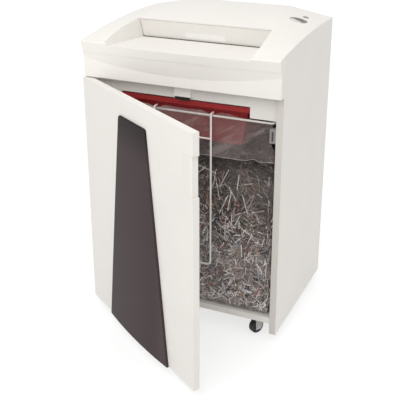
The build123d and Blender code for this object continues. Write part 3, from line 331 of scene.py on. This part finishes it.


# Painted shade: the side boards' front edges are darkened, the inlay darkens to its top, and the rocker's dish
# has a dark crescent
FRONT_EDGE_PAINTED_SHADE = (0.77, 0.755, 0.74)
INLAY_PAINTED_SHADE = (0.35, 0.35, 0.35)
INLAY_PAINTED_SHADE_REACH = 0.11
DISH_PAINTED_SHADE = (0.12, 0.115, 0.11)
DISH_OFFSET = Vector((-0.007, -0.012, 0))
DISH_RADIUS = 0.021
inlay_low, inlay_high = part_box("door_inlay")
inlay_top = middle_of("door_inlay").z + (inlay_high[2] - inlay_low[2]) / 2
# The side boards' front edges are darkened as painted shade
paint_shade(materials["side_board"], FRONT_EDGE_PAINTED_SHADE, front_faces, "MULTIPLY")
# The inlay's top is darkened as painted shade of its dished face
paint_shade(materials["inlay"], INLAY_PAINTED_SHADE, top_part(inlay_top, INLAY_PAINTED_SHADE_REACH), "MULTIPLY")
# A dark crescent at the rim of the rocker's dish is painted shade
paint_shade(materials["switch"], DISH_PAINTED_SHADE, outside_circle(middle_of("rocker_switch") + DISH_OFFSET, DISH_RADIUS))

# Every CAD piece takes the finish of its slot; the grip is moulded in the tone of the door
own_finish = {"door_grip": "grip"}
for subpart in frame["record"]["subparts"]:
    material = materials.get(own_finish.get(subpart["node"], subpart["material_slot"]))
    piece = nodes[subpart["node"]]
    if material:
        piece.data.materials.clear()
        piece.data.materials.append(material)


# Shredded paper: a lumpy heap, near-black as painted shade, under thousands of curled strips, paler towards
# the bottom; the darkest tone gathers at the top partly as painted shade
SHRED_HALF = 268.0
SHRED_FRONT = 10.6
SHRED_BACK = 407.0
SHRED_LOW = 84.0
SHRED_TOP = 543.0
SHRED_CORNER = 13.0
HEAP_SEED = 11
HEAP_DIP = 46.0
HEAP_SWELL = 30.0
HEAP_EDGE_DROP = 0.5
HEAP_LUMP = 15.0
HEAP_LUMP_SPAN = 70.0
HEAP_LUMP_SLICE = 3.1
HEAP_FOOT_HEIGHT = 24.0
HEAP_FOOT_SETBACK = 3.0
CORE_PAINTED_SHADE = (0.034, 0.029, 0.026)
CORE_COLUMNS = 30
CORE_LEVELS = 28
CORE_DEPTH_ROWS = 16
CORE_INSET = 15.0
CORE_LUMP = 5.0
CORE_LUMP_SPAN = 40.0
CORE_LUMP_SLICE = 7.7
EDGE_MARGIN = 2
STRIP_STEPS = 5
STRIP_BOW = 3
STRIP_SWAY = 0.9
STRIP_SWAY_TURN = 5.0
STRIP_END_MARGIN = 3
STRIP_FOOT_MARGIN = 4

# Each tone of paper: its colour, and how common it is at the heap's foot, at its top and among pale strips.
# The darkest tone's large share at the top is partly dark print and partly painted shade
paper_tones = {
    "paper_white": dict(colour=(0.84, 0.81, 0.80), low=18, top=0, pale=46),
    "paper_grey": dict(colour=(0.45, 0.39, 0.375), low=33, top=3, pale=30),
    "paper_dim": dict(colour=(0.20, 0.16, 0.145), low=28, top=20, pale=6),
    "paper_dark_and_painted_shade": dict(colour=(0.068, 0.047, 0.038), low=15, top=70, pale=0),
    "paper_buff": dict(colour=(0.32, 0.25, 0.18), low=5, top=6, pale=9),
    "paper_red": dict(colour=(0.38, 0.10, 0.085), low=1.6, top=1, pale=4),
    "paper_blue": dict(colour=(0.18, 0.26, 0.36), low=1.2, top=0.3, pale=4),
    "paper_green": dict(colour=(0.16, 0.21, 0.12), low=1, top=1.5, pale=2),
    "paper_orange": dict(colour=(0.55, 0.26, 0.12), low=0.8, top=0, pale=3),
}

# Layers of strips on the front, in millimetres. Pull gathers a layer in the heap's lower half. Between the
# heights bare_from and bare_to, the share of strips left out grows to bare_share
deep_layer = dict(count=6400, depth=(5, 13), lengths=(18, 46), widths=(2.2, 3.4), pull=1.0,
                  bare_from=400.0, bare_to=530.0, bare_share=0.4)
near_layer = dict(count=4600, depth=(1, 7), lengths=(16, 42), widths=(1.7, 2.9), pull=1.15,
                  bare_from=400.0, bare_to=530.0, bare_share=0.4)
pale_layer = dict(count=1500, depth=(0, 2.5), lengths=(18, 40), widths=(2.2, 3.8), pull=1.4,
                  bare_from=290.0, bare_to=450.0, bare_share=0.955)
BARE_SLOPE = 46.0
BARE_SLOPE_START = 90.0
BARE_PATCH_SHARE = 0.5
BARE_PATCH_SPAN = 55.0
BARE_PATCH_SLICE = 1.9
BARE_PATCH_NOISE = (0.05, 0.45)
SWIRL_TURNS = 2.6
SWIRL_SPAN = 90.0
SWIRL_SLICE = 4.4
SWIRL_SPREAD = 0.8
CORNER_BAND = 18.0
CORNER_LENGTHS = (12, 24)
CORNER_SPREAD = 0.25
STRIP_TILT = 0.35
STRIP_CURL = 2.2
STRIP_CLEAR = 2.5
TOP_THINNING = 0.5

TOP_STRIPS = 2600
TOP_MARGIN = 26.0
TOP_DEPTH = (-10, 2)
TOP_RISE = 0.25
TOP_TILT = 0.4
TOP_LENGTHS = (16, 40)
TOP_CURL = 4
TOP_WIDTHS = (2.4, 4.2)

STRANDS = 64
STRAND_MARGIN = 62.0
STRAND_FROM_TOP = 20.0
STRAND_SPREAD = 260.0
STRAND_GATHER = 1.4
STRAND_LEAN = 0.3
STRAND_HEAD_ROOM = 36.0
STRAND_CLEAR = 3.5
STRAND_FACING = Vector((0.1, -1, 0.1))
STRAND_LENGTHS = (46, 76)
STRAND_CURL = 2.5
STRAND_WIDTHS = (1.5, 2.3)


def paper(name, colour):
    """Matt paper with small smudges of print."""
    material, tree, shader = new_material(name)
    shader.inputs["Roughness"].default_value = 0.7
    smudge = object_noise(tree, 260, 3.0, 0.7)
    tint = ramp(tree, smudge, [(0.34, shade(colour, 0.55)), (0.5, colour), (0.68, shade(colour, 1.15))])
    tree.links.new(tint, shader.inputs["Base Color"])
    add_bump(tree, shader, smudge, 0.5, 0.0004)
    return material


def heap_height(x, y):
    """Height of the heap's top, which is higher towards the middle."""
    swell = 1 - (x / SHRED_HALF) ** 2 * HEAP_EDGE_DROP
    lumps = ripple(x / HEAP_LUMP_SPAN, y / HEAP_LUMP_SPAN, HEAP_LUMP_SLICE)
    return SHRED_TOP - HEAP_DIP + HEAP_SWELL * swell + HEAP_LUMP * lumps


def heap_front(x, z):
    """How far forward the heap may come: it stays inside the bag's corners and foot."""
    past = max(0.0, abs(x) - (SHRED_HALF - SHRED_CORNER))
    round_off = SHRED_CORNER - math.sqrt(max(0.0, SHRED_CORNER ** 2 - past ** 2))
    foot = max(0.0, 1 - (z - SHRED_LOW) / HEAP_FOOT_HEIGHT)
    return SHRED_FRONT + round_off + HEAP_FOOT_SETBACK * foot * foot


def strip(mesh, origin, along, facing, length, curl, tone, width):
    """A curled ribbon from its middle, direction and facing."""
    along = along.normalized()
    side = along.cross(facing).normalized()
    out = side.cross(along).normalized()
    rows = []
    for i in range(STRIP_STEPS + 1):
        share = i / STRIP_STEPS - 0.5
        bow = curl * (0.25 - share * share) * STRIP_BOW
        sway = curl * STRIP_SWAY * math.sin(share * STRIP_SWAY_TURN)
        spot = origin + along * (length * share) + out * bow
        spot += side * sway
        rows.append([mesh.verts.new(at(*(spot + side * (width / 2 * k)))) for k in (-1, 1)])
    for a, b in zip(rows, rows[1:]):
        face = mesh.faces.new((a[0], a[1], b[1], b[0]))
        face.material_index = tone
        face.smooth = True


def heap_core(mesh):
    """A box with a lumpy front and top, under the strips, whose near-black paper is painted shade between
    them.
    """
    face_y = SHRED_FRONT + CORE_INSET
    grid = []
    for j in range(CORE_LEVELS + CORE_DEPTH_ROWS + 1):
        row = []
        for i in range(CORE_COLUMNS + 1):
            x = (SHRED_HALF - EDGE_MARGIN) * (2 * i / CORE_COLUMNS - 1)
            if j <= CORE_LEVELS:
                z = SHRED_LOW + (heap_height(x, face_y) - CORE_INSET - SHRED_LOW) * j / CORE_LEVELS
                lumps = ripple(x / CORE_LUMP_SPAN, CORE_LUMP_SLICE, z / CORE_LUMP_SPAN)
                y = heap_front(x, z) + CORE_INSET + CORE_LUMP * lumps
            else:
                y = face_y + (SHRED_BACK - SHRED_FRONT - CORE_INSET) * (j - CORE_LEVELS) / CORE_DEPTH_ROWS
                z = heap_height(x, y) - CORE_INSET
            row.append(mesh.verts.new(at(x, y, z)))
        grid.append(row)
    for a, b in zip(grid, grid[1:]):
        for i in range(CORE_COLUMNS):
            face = mesh.faces.new((a[i], a[i + 1], b[i + 1], b[i]))
            face.smooth = True


def front_strips(mesh, rng, tone_of, count, depth, lengths, widths, pull, bare_from, bare_to, bare_share):
    """One layer of strips over the front of the heap, fewer and thinner near its top."""
    for _ in range(count):
        x = rng.uniform(-SHRED_HALF + EDGE_MARGIN, SHRED_HALF - EDGE_MARGIN)
        height = heap_height(x, SHRED_FRONT) - STRIP_END_MARGIN
        span = height - SHRED_LOW - STRIP_FOOT_MARGIN
        z = SHRED_LOW + STRIP_FOOT_MARGIN + span * rng.random() ** pull
        upper = smooth_step(z + BARE_SLOPE * smooth_step(x, BARE_SLOPE_START, SHRED_HALF), bare_from, bare_to)
        patch = ripple(x / BARE_PATCH_SPAN, BARE_PATCH_SLICE, z / BARE_PATCH_SPAN)
        patch = smooth_step(patch, *BARE_PATCH_NOISE)
        if rng.random() < bare_share * upper + BARE_PATCH_SHARE * patch:
            continue
        swirl = SWIRL_TURNS * ripple(x / SWIRL_SPAN, SWIRL_SLICE, z / SWIRL_SPAN) * math.pi
        turn = swirl + rng.gauss(0, SWIRL_SPREAD)
        length = rng.uniform(*lengths)
        if abs(x) > SHRED_HALF - CORNER_BAND:
            turn = math.pi / 2 + rng.gauss(0, CORNER_SPREAD)
            length = rng.uniform(*CORNER_LENGTHS)
        along = Vector((math.cos(turn), 0.0, math.sin(turn)))
        facing = Vector((rng.gauss(0, STRIP_TILT), -1, rng.gauss(0, STRIP_TILT)))
        reach = length / 2 + STRIP_END_MARGIN
        x = max(-SHRED_HALF + reach * abs(along.x), min(SHRED_HALF - reach * abs(along.x), x))
        z = max(SHRED_LOW + reach * abs(along.z), z)
        edge = max(heap_front(x + k * reach * along.x, z + k * reach * along.z) for k in (-1, 0, 1))
        y = edge + STRIP_CLEAR + rng.uniform(*depth)
        along.y = rng.uniform(0.0, min(STRIP_TILT, (y - edge) / reach))
        width = rng.uniform(*widths) * (1 - TOP_THINNING * upper)
        curl = rng.uniform(-STRIP_CURL, STRIP_CURL)
        strip(mesh, Vector((x, y, z)), along, facing, length, curl, tone_of(z), width)


def top_strips(mesh, rng, tone_of):
    """Strips over the top of the heap, some standing up."""
    for _ in range(TOP_STRIPS):
        x = rng.uniform(-SHRED_HALF + TOP_MARGIN, SHRED_HALF - TOP_MARGIN)
        y = rng.uniform(SHRED_FRONT + TOP_MARGIN, SHRED_BACK - TOP_MARGIN)
        z = heap_height(x, y) + rng.uniform(*TOP_DEPTH)
        turn = rng.uniform(0, 2 * math.pi)
        along = Vector((math.cos(turn), math.sin(turn), rng.gauss(0, TOP_RISE)))
        facing = Vector((rng.gauss(0, TOP_TILT), rng.gauss(0, TOP_TILT), 1))
        length = rng.uniform(*TOP_LENGTHS)
        curl = rng.uniform(-TOP_CURL, TOP_CURL)
        strip(mesh, Vector((x, y, z)), along, facing, length, curl, tone_of(z), rng.uniform(*TOP_WIDTHS))


def long_strands(mesh, rng, tone_of):
    """Long thin strands against the film, most of them high up."""
    for _ in range(STRANDS):
        x = rng.uniform(-SHRED_HALF + STRAND_MARGIN, SHRED_HALF - STRAND_MARGIN)
        z = SHRED_TOP - STRAND_FROM_TOP - STRAND_SPREAD * rng.random() ** STRAND_GATHER
        turn = rng.uniform(STRAND_LEAN, math.pi - STRAND_LEAN)
        along = Vector((math.cos(turn), 0.0, math.sin(turn)))
        z = min(z, heap_height(x, SHRED_FRONT) - STRAND_HEAD_ROOM * along.z)
        place = Vector((x, SHRED_FRONT + STRAND_CLEAR, z))
        length = rng.uniform(*STRAND_LENGTHS)
        curl = rng.uniform(-STRAND_CURL, STRAND_CURL)
        strip(mesh, place, along, STRAND_FACING, length, curl, tone_of(z), rng.uniform(*STRAND_WIDTHS))


def make_shreds():
    """The whole heap as one piece."""
    rng = random.Random(HEAP_SEED)
    mesh = bmesh.new()
    tones = list(paper_tones.values())

    # Tones by height: the darkest tone takes over near the top, partly as painted shade
    def mixed(z):
        share = max(0.0, min(1.0, (z - SHRED_LOW) / (SHRED_TOP - SHRED_LOW)))
        weights = [tone["low"] + (tone["top"] - tone["low"]) * share for tone in tones]
        return 1 + rng.choices(range(len(tones)), weights)[0]

    def pale(z):
        return 1 + rng.choices(range(len(tones)), [tone["pale"] for tone in tones])[0]

    heap_core(mesh)
    front_strips(mesh, rng, mixed, **deep_layer)
    front_strips(mesh, rng, mixed, **near_layer)
    front_strips(mesh, rng, pale, **pale_layer)
    top_strips(mesh, rng, mixed)
    long_strands(mesh, rng, pale)
    heap = add_object(mesh, "shredded_paper")
    # The core's near-black paper is painted shade between the strips
    heap.data.materials.append(paper("paper_core_painted_shade", CORE_PAINTED_SHADE))
    for name, tone in paper_tones.items():
        heap.data.materials.append(paper(name, tone["colour"]))
    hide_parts("paper_shreds")
    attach(heap, "cabinet")


make_shreds()


# Clear film bag: a slack shell in the hoop, full below it, and turned over the front wire as a collar
BAG_HALF = 262.2
BAG_FRONT = 15.8
BAG_BACK = 404.2
BAG_CORNER = 11.0
BAG_LOW = 81.6
BAG_COLUMNS = 420
BAG_LEVELS = 120
BAG_FOOT_HEIGHT = 20.0
BAG_FOOT_PULL = 2.4
BAG_FOOT_SPAN = 22.0
BAG_FOOT_SLICE = 1.3
BAG_FOOT_UNEVEN = 0.8
BULGE_SIDE = 9.6
BULGE_FRONT = 7.8
BULGE_LOW = 568.0
BULGE_HIGH = 616.0
SLACK_START = (520, 580)
SLACK_END = 640.0
FOLD_SPAN = 46.0
FOLD_HEIGHT = 150.0
FOLD_SHIFT = 2
FOLD_DEPTH = 0.9
FOLD_SLACK = 4.5
CREASE_SPAN = 21.0
CREASE_HEIGHT = 34.0
CREASE_SHIFT = 5
CREASE_DEPTH = 0.6
CREASE_SLACK = 2.0
BOTTOM_RINGS = (0.8, 0.5, 0.2)
WIRE_Y = 12.0
WIRE_Z = 672.0
WIRE_TURN = 4.2
WIRE_EASE = 24.0
COLLAR_LOW = 556.0
COLLAR_FRONT = 5.2
COLLAR_HALF_LOW = 270.5
COLLAR_HALF_HIGH = 263.5
COLLAR_COLUMNS = 200
COLLAR_DROP_STEPS = 46
COLLAR_TURN_STEPS = 10
COLLAR_EASE = 26.0
CATCH_LOW = 611.0
CATCH_EASE = 12.0
HEM_DEPTH = 2.2
HEM_WAVE = 3.0
HEM_WAVE_SPAN = 90
HEM_WAVE_SLICE = (0.4, 8.0)
HEM_CORNER_START = 216.0
HEM_CORNER_LIFT = 5.0
CRUMPLE_X = 212.0
CRUMPLE_HALF = 13.0
CRUMPLE_LIFT = 7.0
CRUMPLE_SPAN = 5
CRUMPLE_HEIGHT = 24
CRUMPLE_SLICE = 4.0
CRUMPLE_PINCH = 0.5
LOOP_RISE = 9.0
LOOP_RISE_STEADY = 0.75
LOOP_RISE_VARIED = 0.25
LOOP_RISE_SPAN = 40
LOOP_RISE_SLICE = (3.3, 0.7)
HOOK_X = 87.0
HOOK_CLEAR = (5, 30)
LOOP_FADE = (130, 190)
ROOM_LOW = 0.9
ROOM_MORE = 2.4
ROOM_SHIFT = 20.0

# Slanting folds of the collar: how much each counts, and its size, slant and slice of the noise
wide_folds = dict(share=0.6, span=75, height=48, slant=260, place=2.0)
narrow_folds = dict(share=0.4, span=24, height=30, slant=90, place=6.0)

# Each film: how opaque it is where thin and where milky, its colour, the heights in metres between which it
# clears, darkening the film above as painted shade, and the strength of its slanting bands of painted sheen
films = {
    "film": dict(thin=0.04, thick=0.42, colour=(0.50, 0.45, 0.445), clear_low=0.25, clear_high=0.5),
    # The collar film is a darker copy of the bag film, as painted shade
    "film_collar_shade_and_sheen": dict(thin=0.17, thick=0.75, colour=(0.38, 0.315, 0.305), clear_low=0.8, clear_high=1.0,
                        sheen_streaks=0.6),
    "film_hem": dict(thin=0.45, thick=0.65, colour=(0.62, 0.58, 0.57), clear_low=0.8, clear_high=1.0),
}
SHEEN_STREAK_STRETCH = (0.45, 1.0, 2.6)
SHEEN_STREAK_LEAN = 0.55


def film(name, thin, thick, colour, clear_low, clear_high, sheen_streaks=0.0):
    """Clear film: a faint veil that thickens to milky patches and creases, partly real milkiness and partly
    painted highlight, with slanting bands of painted sheen; it clears higher up as painted shade.
    """
    material, tree, shader = new_material(name)
    shader.inputs["Base Color"].default_value = (*colour, 1.0)
    shader.inputs["Specular IOR Level"].default_value = 0.6
    wide = object_noise(tree, 5, 4.0, 0.6, (1.0, 1.0, 2.2))
    fine = object_noise(tree, 24, 4.0, 0.6, (1.0, 1.0, 0.7))
    # Creases and milky patches thicken the veil: partly the film's own milkiness, partly painted highlight
    off = combine(tree, "ABSOLUTE", combine(tree, "SUBTRACT", fine, 0.5), 0)
    crease = map_range(tree, off, 0.0, 0.03, 1.0, 0.0, smooth=True)
    patch = map_range(tree, wide, 0.40, 0.70, 0.0, 1.0, smooth=True)
    marks = combine(tree, "MULTIPLY", crease, map_range(tree, patch, 0.0, 1.0, 0.08, 0.9))
    veil = combine(tree, "MAXIMUM", marks, combine(tree, "MULTIPLY", patch, 0.7))
    if sheen_streaks:
        # Slanting bands of thicker film are painted sheen
        slant = object_noise(tree, 9, 3.0, 0.6, SHEEN_STREAK_STRETCH, SHEEN_STREAK_LEAN)
        sheen_streak = map_range(tree, slant, 0.50, 0.66, 0.0, sheen_streaks, smooth=True)
        veil = combine(tree, "MAXIMUM", veil, sheen_streak)
    # Higher up the film clears, which darkens it there as painted shade
    painted_shade_clearing = map_range(tree, axes(tree, "Object")["Z"], clear_low, clear_high, 1.0, 0.35)
    veil = combine(tree, "MULTIPLY", veil, painted_shade_clearing)
    tree.links.new(map_range(tree, veil, 0.0, 1.0, thin, thick), shader.inputs["Alpha"])
    tree.links.new(map_range(tree, fine, 0.3, 0.7, 0.16, 0.36), shader.inputs["Roughness"])
    height = combine(tree, "ADD", fine, combine(tree, "MULTIPLY", crease, 0.2))
    add_bump(tree, shader, height, 0.7, 0.004)
    return material


def bag_outline(count):
    """Points round the bag in plan, with the outward direction at each."""
    half_depth = (BAG_BACK - BAG_FRONT) / 2
    middle = (BAG_BACK + BAG_FRONT) / 2
    straight_x = BAG_HALF - BAG_CORNER
    straight_y = half_depth - BAG_CORNER
    arc = BAG_CORNER * math.pi / 2
    runs = [2 * straight_x, arc, 2 * straight_y, arc, 2 * straight_x, arc, 2 * straight_y, arc]
    total = sum(runs)
    corners = [(straight_x, -straight_y, -90), (straight_x, straight_y, 0), (-straight_x, straight_y, 90),
               (-straight_x, -straight_y, 180)]
    points = []
    for n in range(count):
        left = total * n / count
        for k, run in enumerate(runs):
            if left <= run:
                break
            left -= run
        cx, cy, turn = corners[(k // 2) % 4]
        share = left / run
        if k % 2 == 1:
            angle = math.radians(turn + 90 * share)
            out = Vector((math.cos(angle), math.sin(angle), 0))
            points.append((Vector((cx, cy + middle, 0)) + out * BAG_CORNER, out))
        else:
            angle = math.radians(turn)
            out = Vector((math.cos(angle), math.sin(angle), 0))
            run_dir = Vector((-out.y, out.x, 0))
            start = Vector((cx, cy + middle, 0)) + out * BAG_CORNER - run_dir * run
            points.append((start + run_dir * left, out))
    return points


def bag_shell(mesh):
    """The walls of the bag as rings from the foot up to the wire, and its bottom as rings that close in."""
    outline = bag_outline(BAG_COLUMNS)
    rings = []
    for j in range(BAG_LEVELS + 1):
        z = BAG_LOW + (WIRE_Z - BAG_LOW) * j / BAG_LEVELS
        bulge = 1 - smooth_step(z, BULGE_LOW, BULGE_HIGH)
        slack = smooth_step(z, *SLACK_START) * (1 - smooth_step(z, SLACK_END, WIRE_Z))
        foot = max(0.0, 1 - (z - BAG_LOW) / BAG_FOOT_HEIGHT)
        ring = []
        for spot, out in outline:
            grow = bulge * (BULGE_SIDE * abs(out.x) + BULGE_FRONT * abs(out.y))
            folds = ridge(spot.x / FOLD_SPAN, spot.y / FOLD_SPAN, z / FOLD_HEIGHT + FOLD_SHIFT)
            creases = ridge(spot.x / CREASE_SPAN + CREASE_SHIFT, spot.y / CREASE_SPAN, z / CREASE_HEIGHT)
            pull = FOLD_DEPTH * folds + CREASE_DEPTH * creases
            pull += slack * (FOLD_SLACK * folds + CREASE_SLACK * creases)
            pull *= 1 - smooth_step(z, WIRE_Z - WIRE_EASE, WIRE_Z)
            lumps = ripple(spot.x / BAG_FOOT_SPAN, spot.y / BAG_FOOT_SPAN, BAG_FOOT_SLICE)
            uneven = 1 + BAG_FOOT_UNEVEN * lumps
            pull += BAG_FOOT_PULL * foot * foot * uneven
            place = spot + out * (grow - pull)
            ring.append(mesh.verts.new(at(place.x, place.y, z)))
        rings.append(ring)
    following = [(i, (i + 1) % BAG_COLUMNS) for i in range(BAG_COLUMNS)]
    for a, b in zip(rings, rings[1:]):
        for i, k in following:
            mesh.faces.new((a[i], a[k], b[k], b[i]))
    inner = rings[0]
    middle = at(0, (BAG_FRONT + BAG_BACK) / 2, BAG_LOW)
    for share in BOTTOM_RINGS:
        ring = [mesh.verts.new(middle.lerp(v.co, share)) for v in rings[0]]
        for i, k in following:
            mesh.faces.new((inner[k], inner[i], ring[i], ring[k]))
        inner = ring
    mesh.faces.new(list(reversed(inner)))


def slanting_folds(x, z, share, span, height, slant, place):
    return share * ridge(x / span, z / height + x / slant, place)


def collar_column(mesh, across):
    """One column of the collar: from its hem up the outside and over the wire."""
    x = COLLAR_HALF_LOW * across
    hem = COLLAR_LOW + HEM_WAVE * ripple(x / HEM_WAVE_SPAN, *HEM_WAVE_SLICE)
    crumple = math.exp(-(((x - CRUMPLE_X) / CRUMPLE_HALF) ** 2))
    hem += CRUMPLE_LIFT * crumple + HEM_CORNER_LIFT * smooth_step(x, HEM_CORNER_START, COLLAR_HALF_LOW)
    # The film stands a little above the wire between the hooks of the wire loop
    free = smooth_step(abs(abs(x) - HOOK_X), *HOOK_CLEAR) * (1 - smooth_step(abs(x), *LOOP_FADE))
    varied = LOOP_RISE_VARIED * ripple(x / LOOP_RISE_SPAN, *LOOP_RISE_SLICE)
    rise = LOOP_RISE * free * (LOOP_RISE_STEADY + varied)
    column = []
    for j in range(COLLAR_DROP_STEPS + 2):
        share = max(0.0, (j - 1) / COLLAR_DROP_STEPS)
        z = hem + (0.0 if j == 0 else HEM_DEPTH) + (WIRE_Z - hem - HEM_DEPTH) * share
        narrowing = smooth_step(z, CATCH_LOW - CATCH_EASE, CATCH_LOW)
        wide = COLLAR_HALF_LOW + (COLLAR_HALF_HIGH - COLLAR_HALF_LOW) * narrowing
        room = ROOM_LOW + ROOM_MORE * smooth_step(z, BULGE_LOW + ROOM_SHIFT, BULGE_HIGH + ROOM_SHIFT)
        wave = slanting_folds(x, z, **wide_folds) + slanting_folds(x, z, **narrow_folds)
        pinch = crumple * (1 - share) * ripple(x / CRUMPLE_SPAN, z / CRUMPLE_HEIGHT, CRUMPLE_SLICE)
        y = COLLAR_FRONT + room * max(0.0, min(1.0, wave + CRUMPLE_PINCH * pinch))
        y += (WIRE_Y - WIRE_TURN - y) * smooth_step(z, WIRE_Z - COLLAR_EASE, WIRE_Z)
        column.append(mesh.verts.new(at(wide * across, y, z)))
    for j in range(1, COLLAR_TURN_STEPS + 1):
        angle = math.pi - math.pi * j / COLLAR_TURN_STEPS
        y = WIRE_Y + WIRE_TURN * math.cos(angle)
        z = WIRE_Z + (WIRE_TURN + rise) * math.sin(angle)
        column.append(mesh.verts.new(at(COLLAR_HALF_HIGH * across, y, z)))
    return column


def bag_collar(mesh):
    """The collar, with its lowest row of faces as the hem."""
    names = list(films)
    columns = [collar_column(mesh, 2 * i / COLLAR_COLUMNS - 1) for i in range(COLLAR_COLUMNS + 1)]
    for a, b in zip(columns, columns[1:]):
        for j in range(len(a) - 1):
            face = mesh.faces.new((a[j], b[j], b[j + 1], a[j + 1]))
            face.material_index = names.index("film_hem" if j == 0 else "film_collar_shade_and_sheen")


def make_bag():
    """The whole bag as one piece."""
    mesh = bmesh.new()
    bag_shell(mesh)
    bag_collar(mesh)
    for face in mesh.faces:
        face.smooth = True
    bag = add_object(mesh, "film_bag")
    for name, values in films.items():
        bag.data.materials.append(film(name, **values))
    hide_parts("waste_bag")
    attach(bag, "cabinet")


make_bag()


# Floor and light. The background is white where it is looked at, and lights the part as a pale floor and room
FLOOR_HALF = 30.0
FLOOR_TONE = 0.92
FLOOR_TONE_SEEN = 0.36
FLOOR_GLOW_SEEN = 0.70
WORLD_PEAK = 1.17
WORLD_WHITE = (1.0, 0.995, 0.985)
KEY_PLACE = (0.2, -1.8, 2.3)
KEY_TARGET = (0.0, -0.1, 0.6)
KEY_SIZE = 1.6
KEY_POWER = 25

# Light from the world by height, from the horizon at 0 to overhead at 1
world_levels = [(0.0, 1.0), (0.13, 0.86), (0.32, 0.46), (1.0, WORLD_PEAK)]


def looked_at(tree):
    """1 on rays that show the background, straight, in gloss or refracted, and 0 on rays that gather light."""
    path = add_node(tree, "ShaderNodeLightPath").outputs
    shown = combine(tree, "MAXIMUM", path["Is Camera Ray"], path["Is Glossy Ray"])
    return combine(tree, "MAXIMUM", shown, path["Is Transmission Ray"])


def make_floor():
    mesh = bmesh.new()
    for x, y in ((-1, -1), (1, -1), (1, 1), (-1, 1)):
        mesh.verts.new((x * FLOOR_HALF, y * FLOOR_HALF, 0.0))
    mesh.faces.new(list(mesh.verts))
    floor = add_object(mesh, "floor")
    material, tree, shader = new_material("floor")
    shader.inputs["Roughness"].default_value = 0.9
    shader.inputs["Specular IOR Level"].default_value = 0.05
    shader.inputs["Emission Color"].default_value = (1.0, 1.0, 1.0, 1.0)
    shown = looked_at(tree)
    tone = map_range(tree, shown, 0.0, 1.0, FLOOR_TONE, FLOOR_TONE_SEEN)
    tree.links.new(tone, shader.inputs["Base Color"])
    tree.links.new(combine(tree, "MULTIPLY", shown, FLOOR_GLOW_SEEN), shader.inputs["Emission Strength"])
    floor.data.materials.append(material)


def make_world():
    """Soft light from all round by height: bright behind the floor, dimmer above it, brightest overhead."""
    world = bpy.data.worlds.new("studio")
    bpy.context.scene.world = world
    world.use_nodes = True
    tree = world.node_tree
    background = tree.nodes["Background"]
    background.inputs["Strength"].default_value = WORLD_PEAK
    tones = [(height, shade(WORLD_WHITE, level / WORLD_PEAK)) for height, level in world_levels]
    lighting = ramp(tree, axes(tree, "Generated")["Z"], tones)
    white = (1 / WORLD_PEAK, 1 / WORLD_PEAK, 1 / WORLD_PEAK)
    tree.links.new(overlay(tree, lighting, white, looked_at(tree)), background.inputs["Color"])


def make_key():
    data = bpy.data.lights.new("key", "AREA")
    data.size = KEY_SIZE
    data.energy = KEY_POWER
    light = bpy.data.objects.new("key", data)
    light.location = KEY_PLACE
    light.rotation_euler = (Vector(KEY_TARGET) - Vector(KEY_PLACE)).to_track_quat("-Z", "Y").to_euler()
    bpy.context.scene.collection.objects.link(light)


make_floor()
make_world()
make_key()

# Camera
CAMERA_PLACE = (919.2, -1911.1, 1353.0)
CAMERA_YAW = 0.4221
CAMERA_PITCH = 0.3723
SENSOR_WIDTH = 36.0
FOCAL_PIXELS = 800.0
FRAME_PIXELS = 404.0
CENTRE_SHIFT_PIXELS = -40.0
camera_data = bpy.data.cameras.new("camera")
camera_data.sensor_width = SENSOR_WIDTH
camera_data.lens = FOCAL_PIXELS / FRAME_PIXELS * SENSOR_WIDTH
camera_data.shift_y = CENTRE_SHIFT_PIXELS / FRAME_PIXELS
camera_data.clip_end = 100.0
camera = bpy.data.objects.new("camera", camera_data)
camera.location = at(*CAMERA_PLACE)
camera.rotation_euler = Euler((math.pi / 2 - CAMERA_PITCH, 0.0, CAMERA_YAW))
bpy.context.scene.collection.objects.link(camera)
bpy.context.scene.camera = camera
bpy.context.scene.view_settings.view_transform = "Standard"
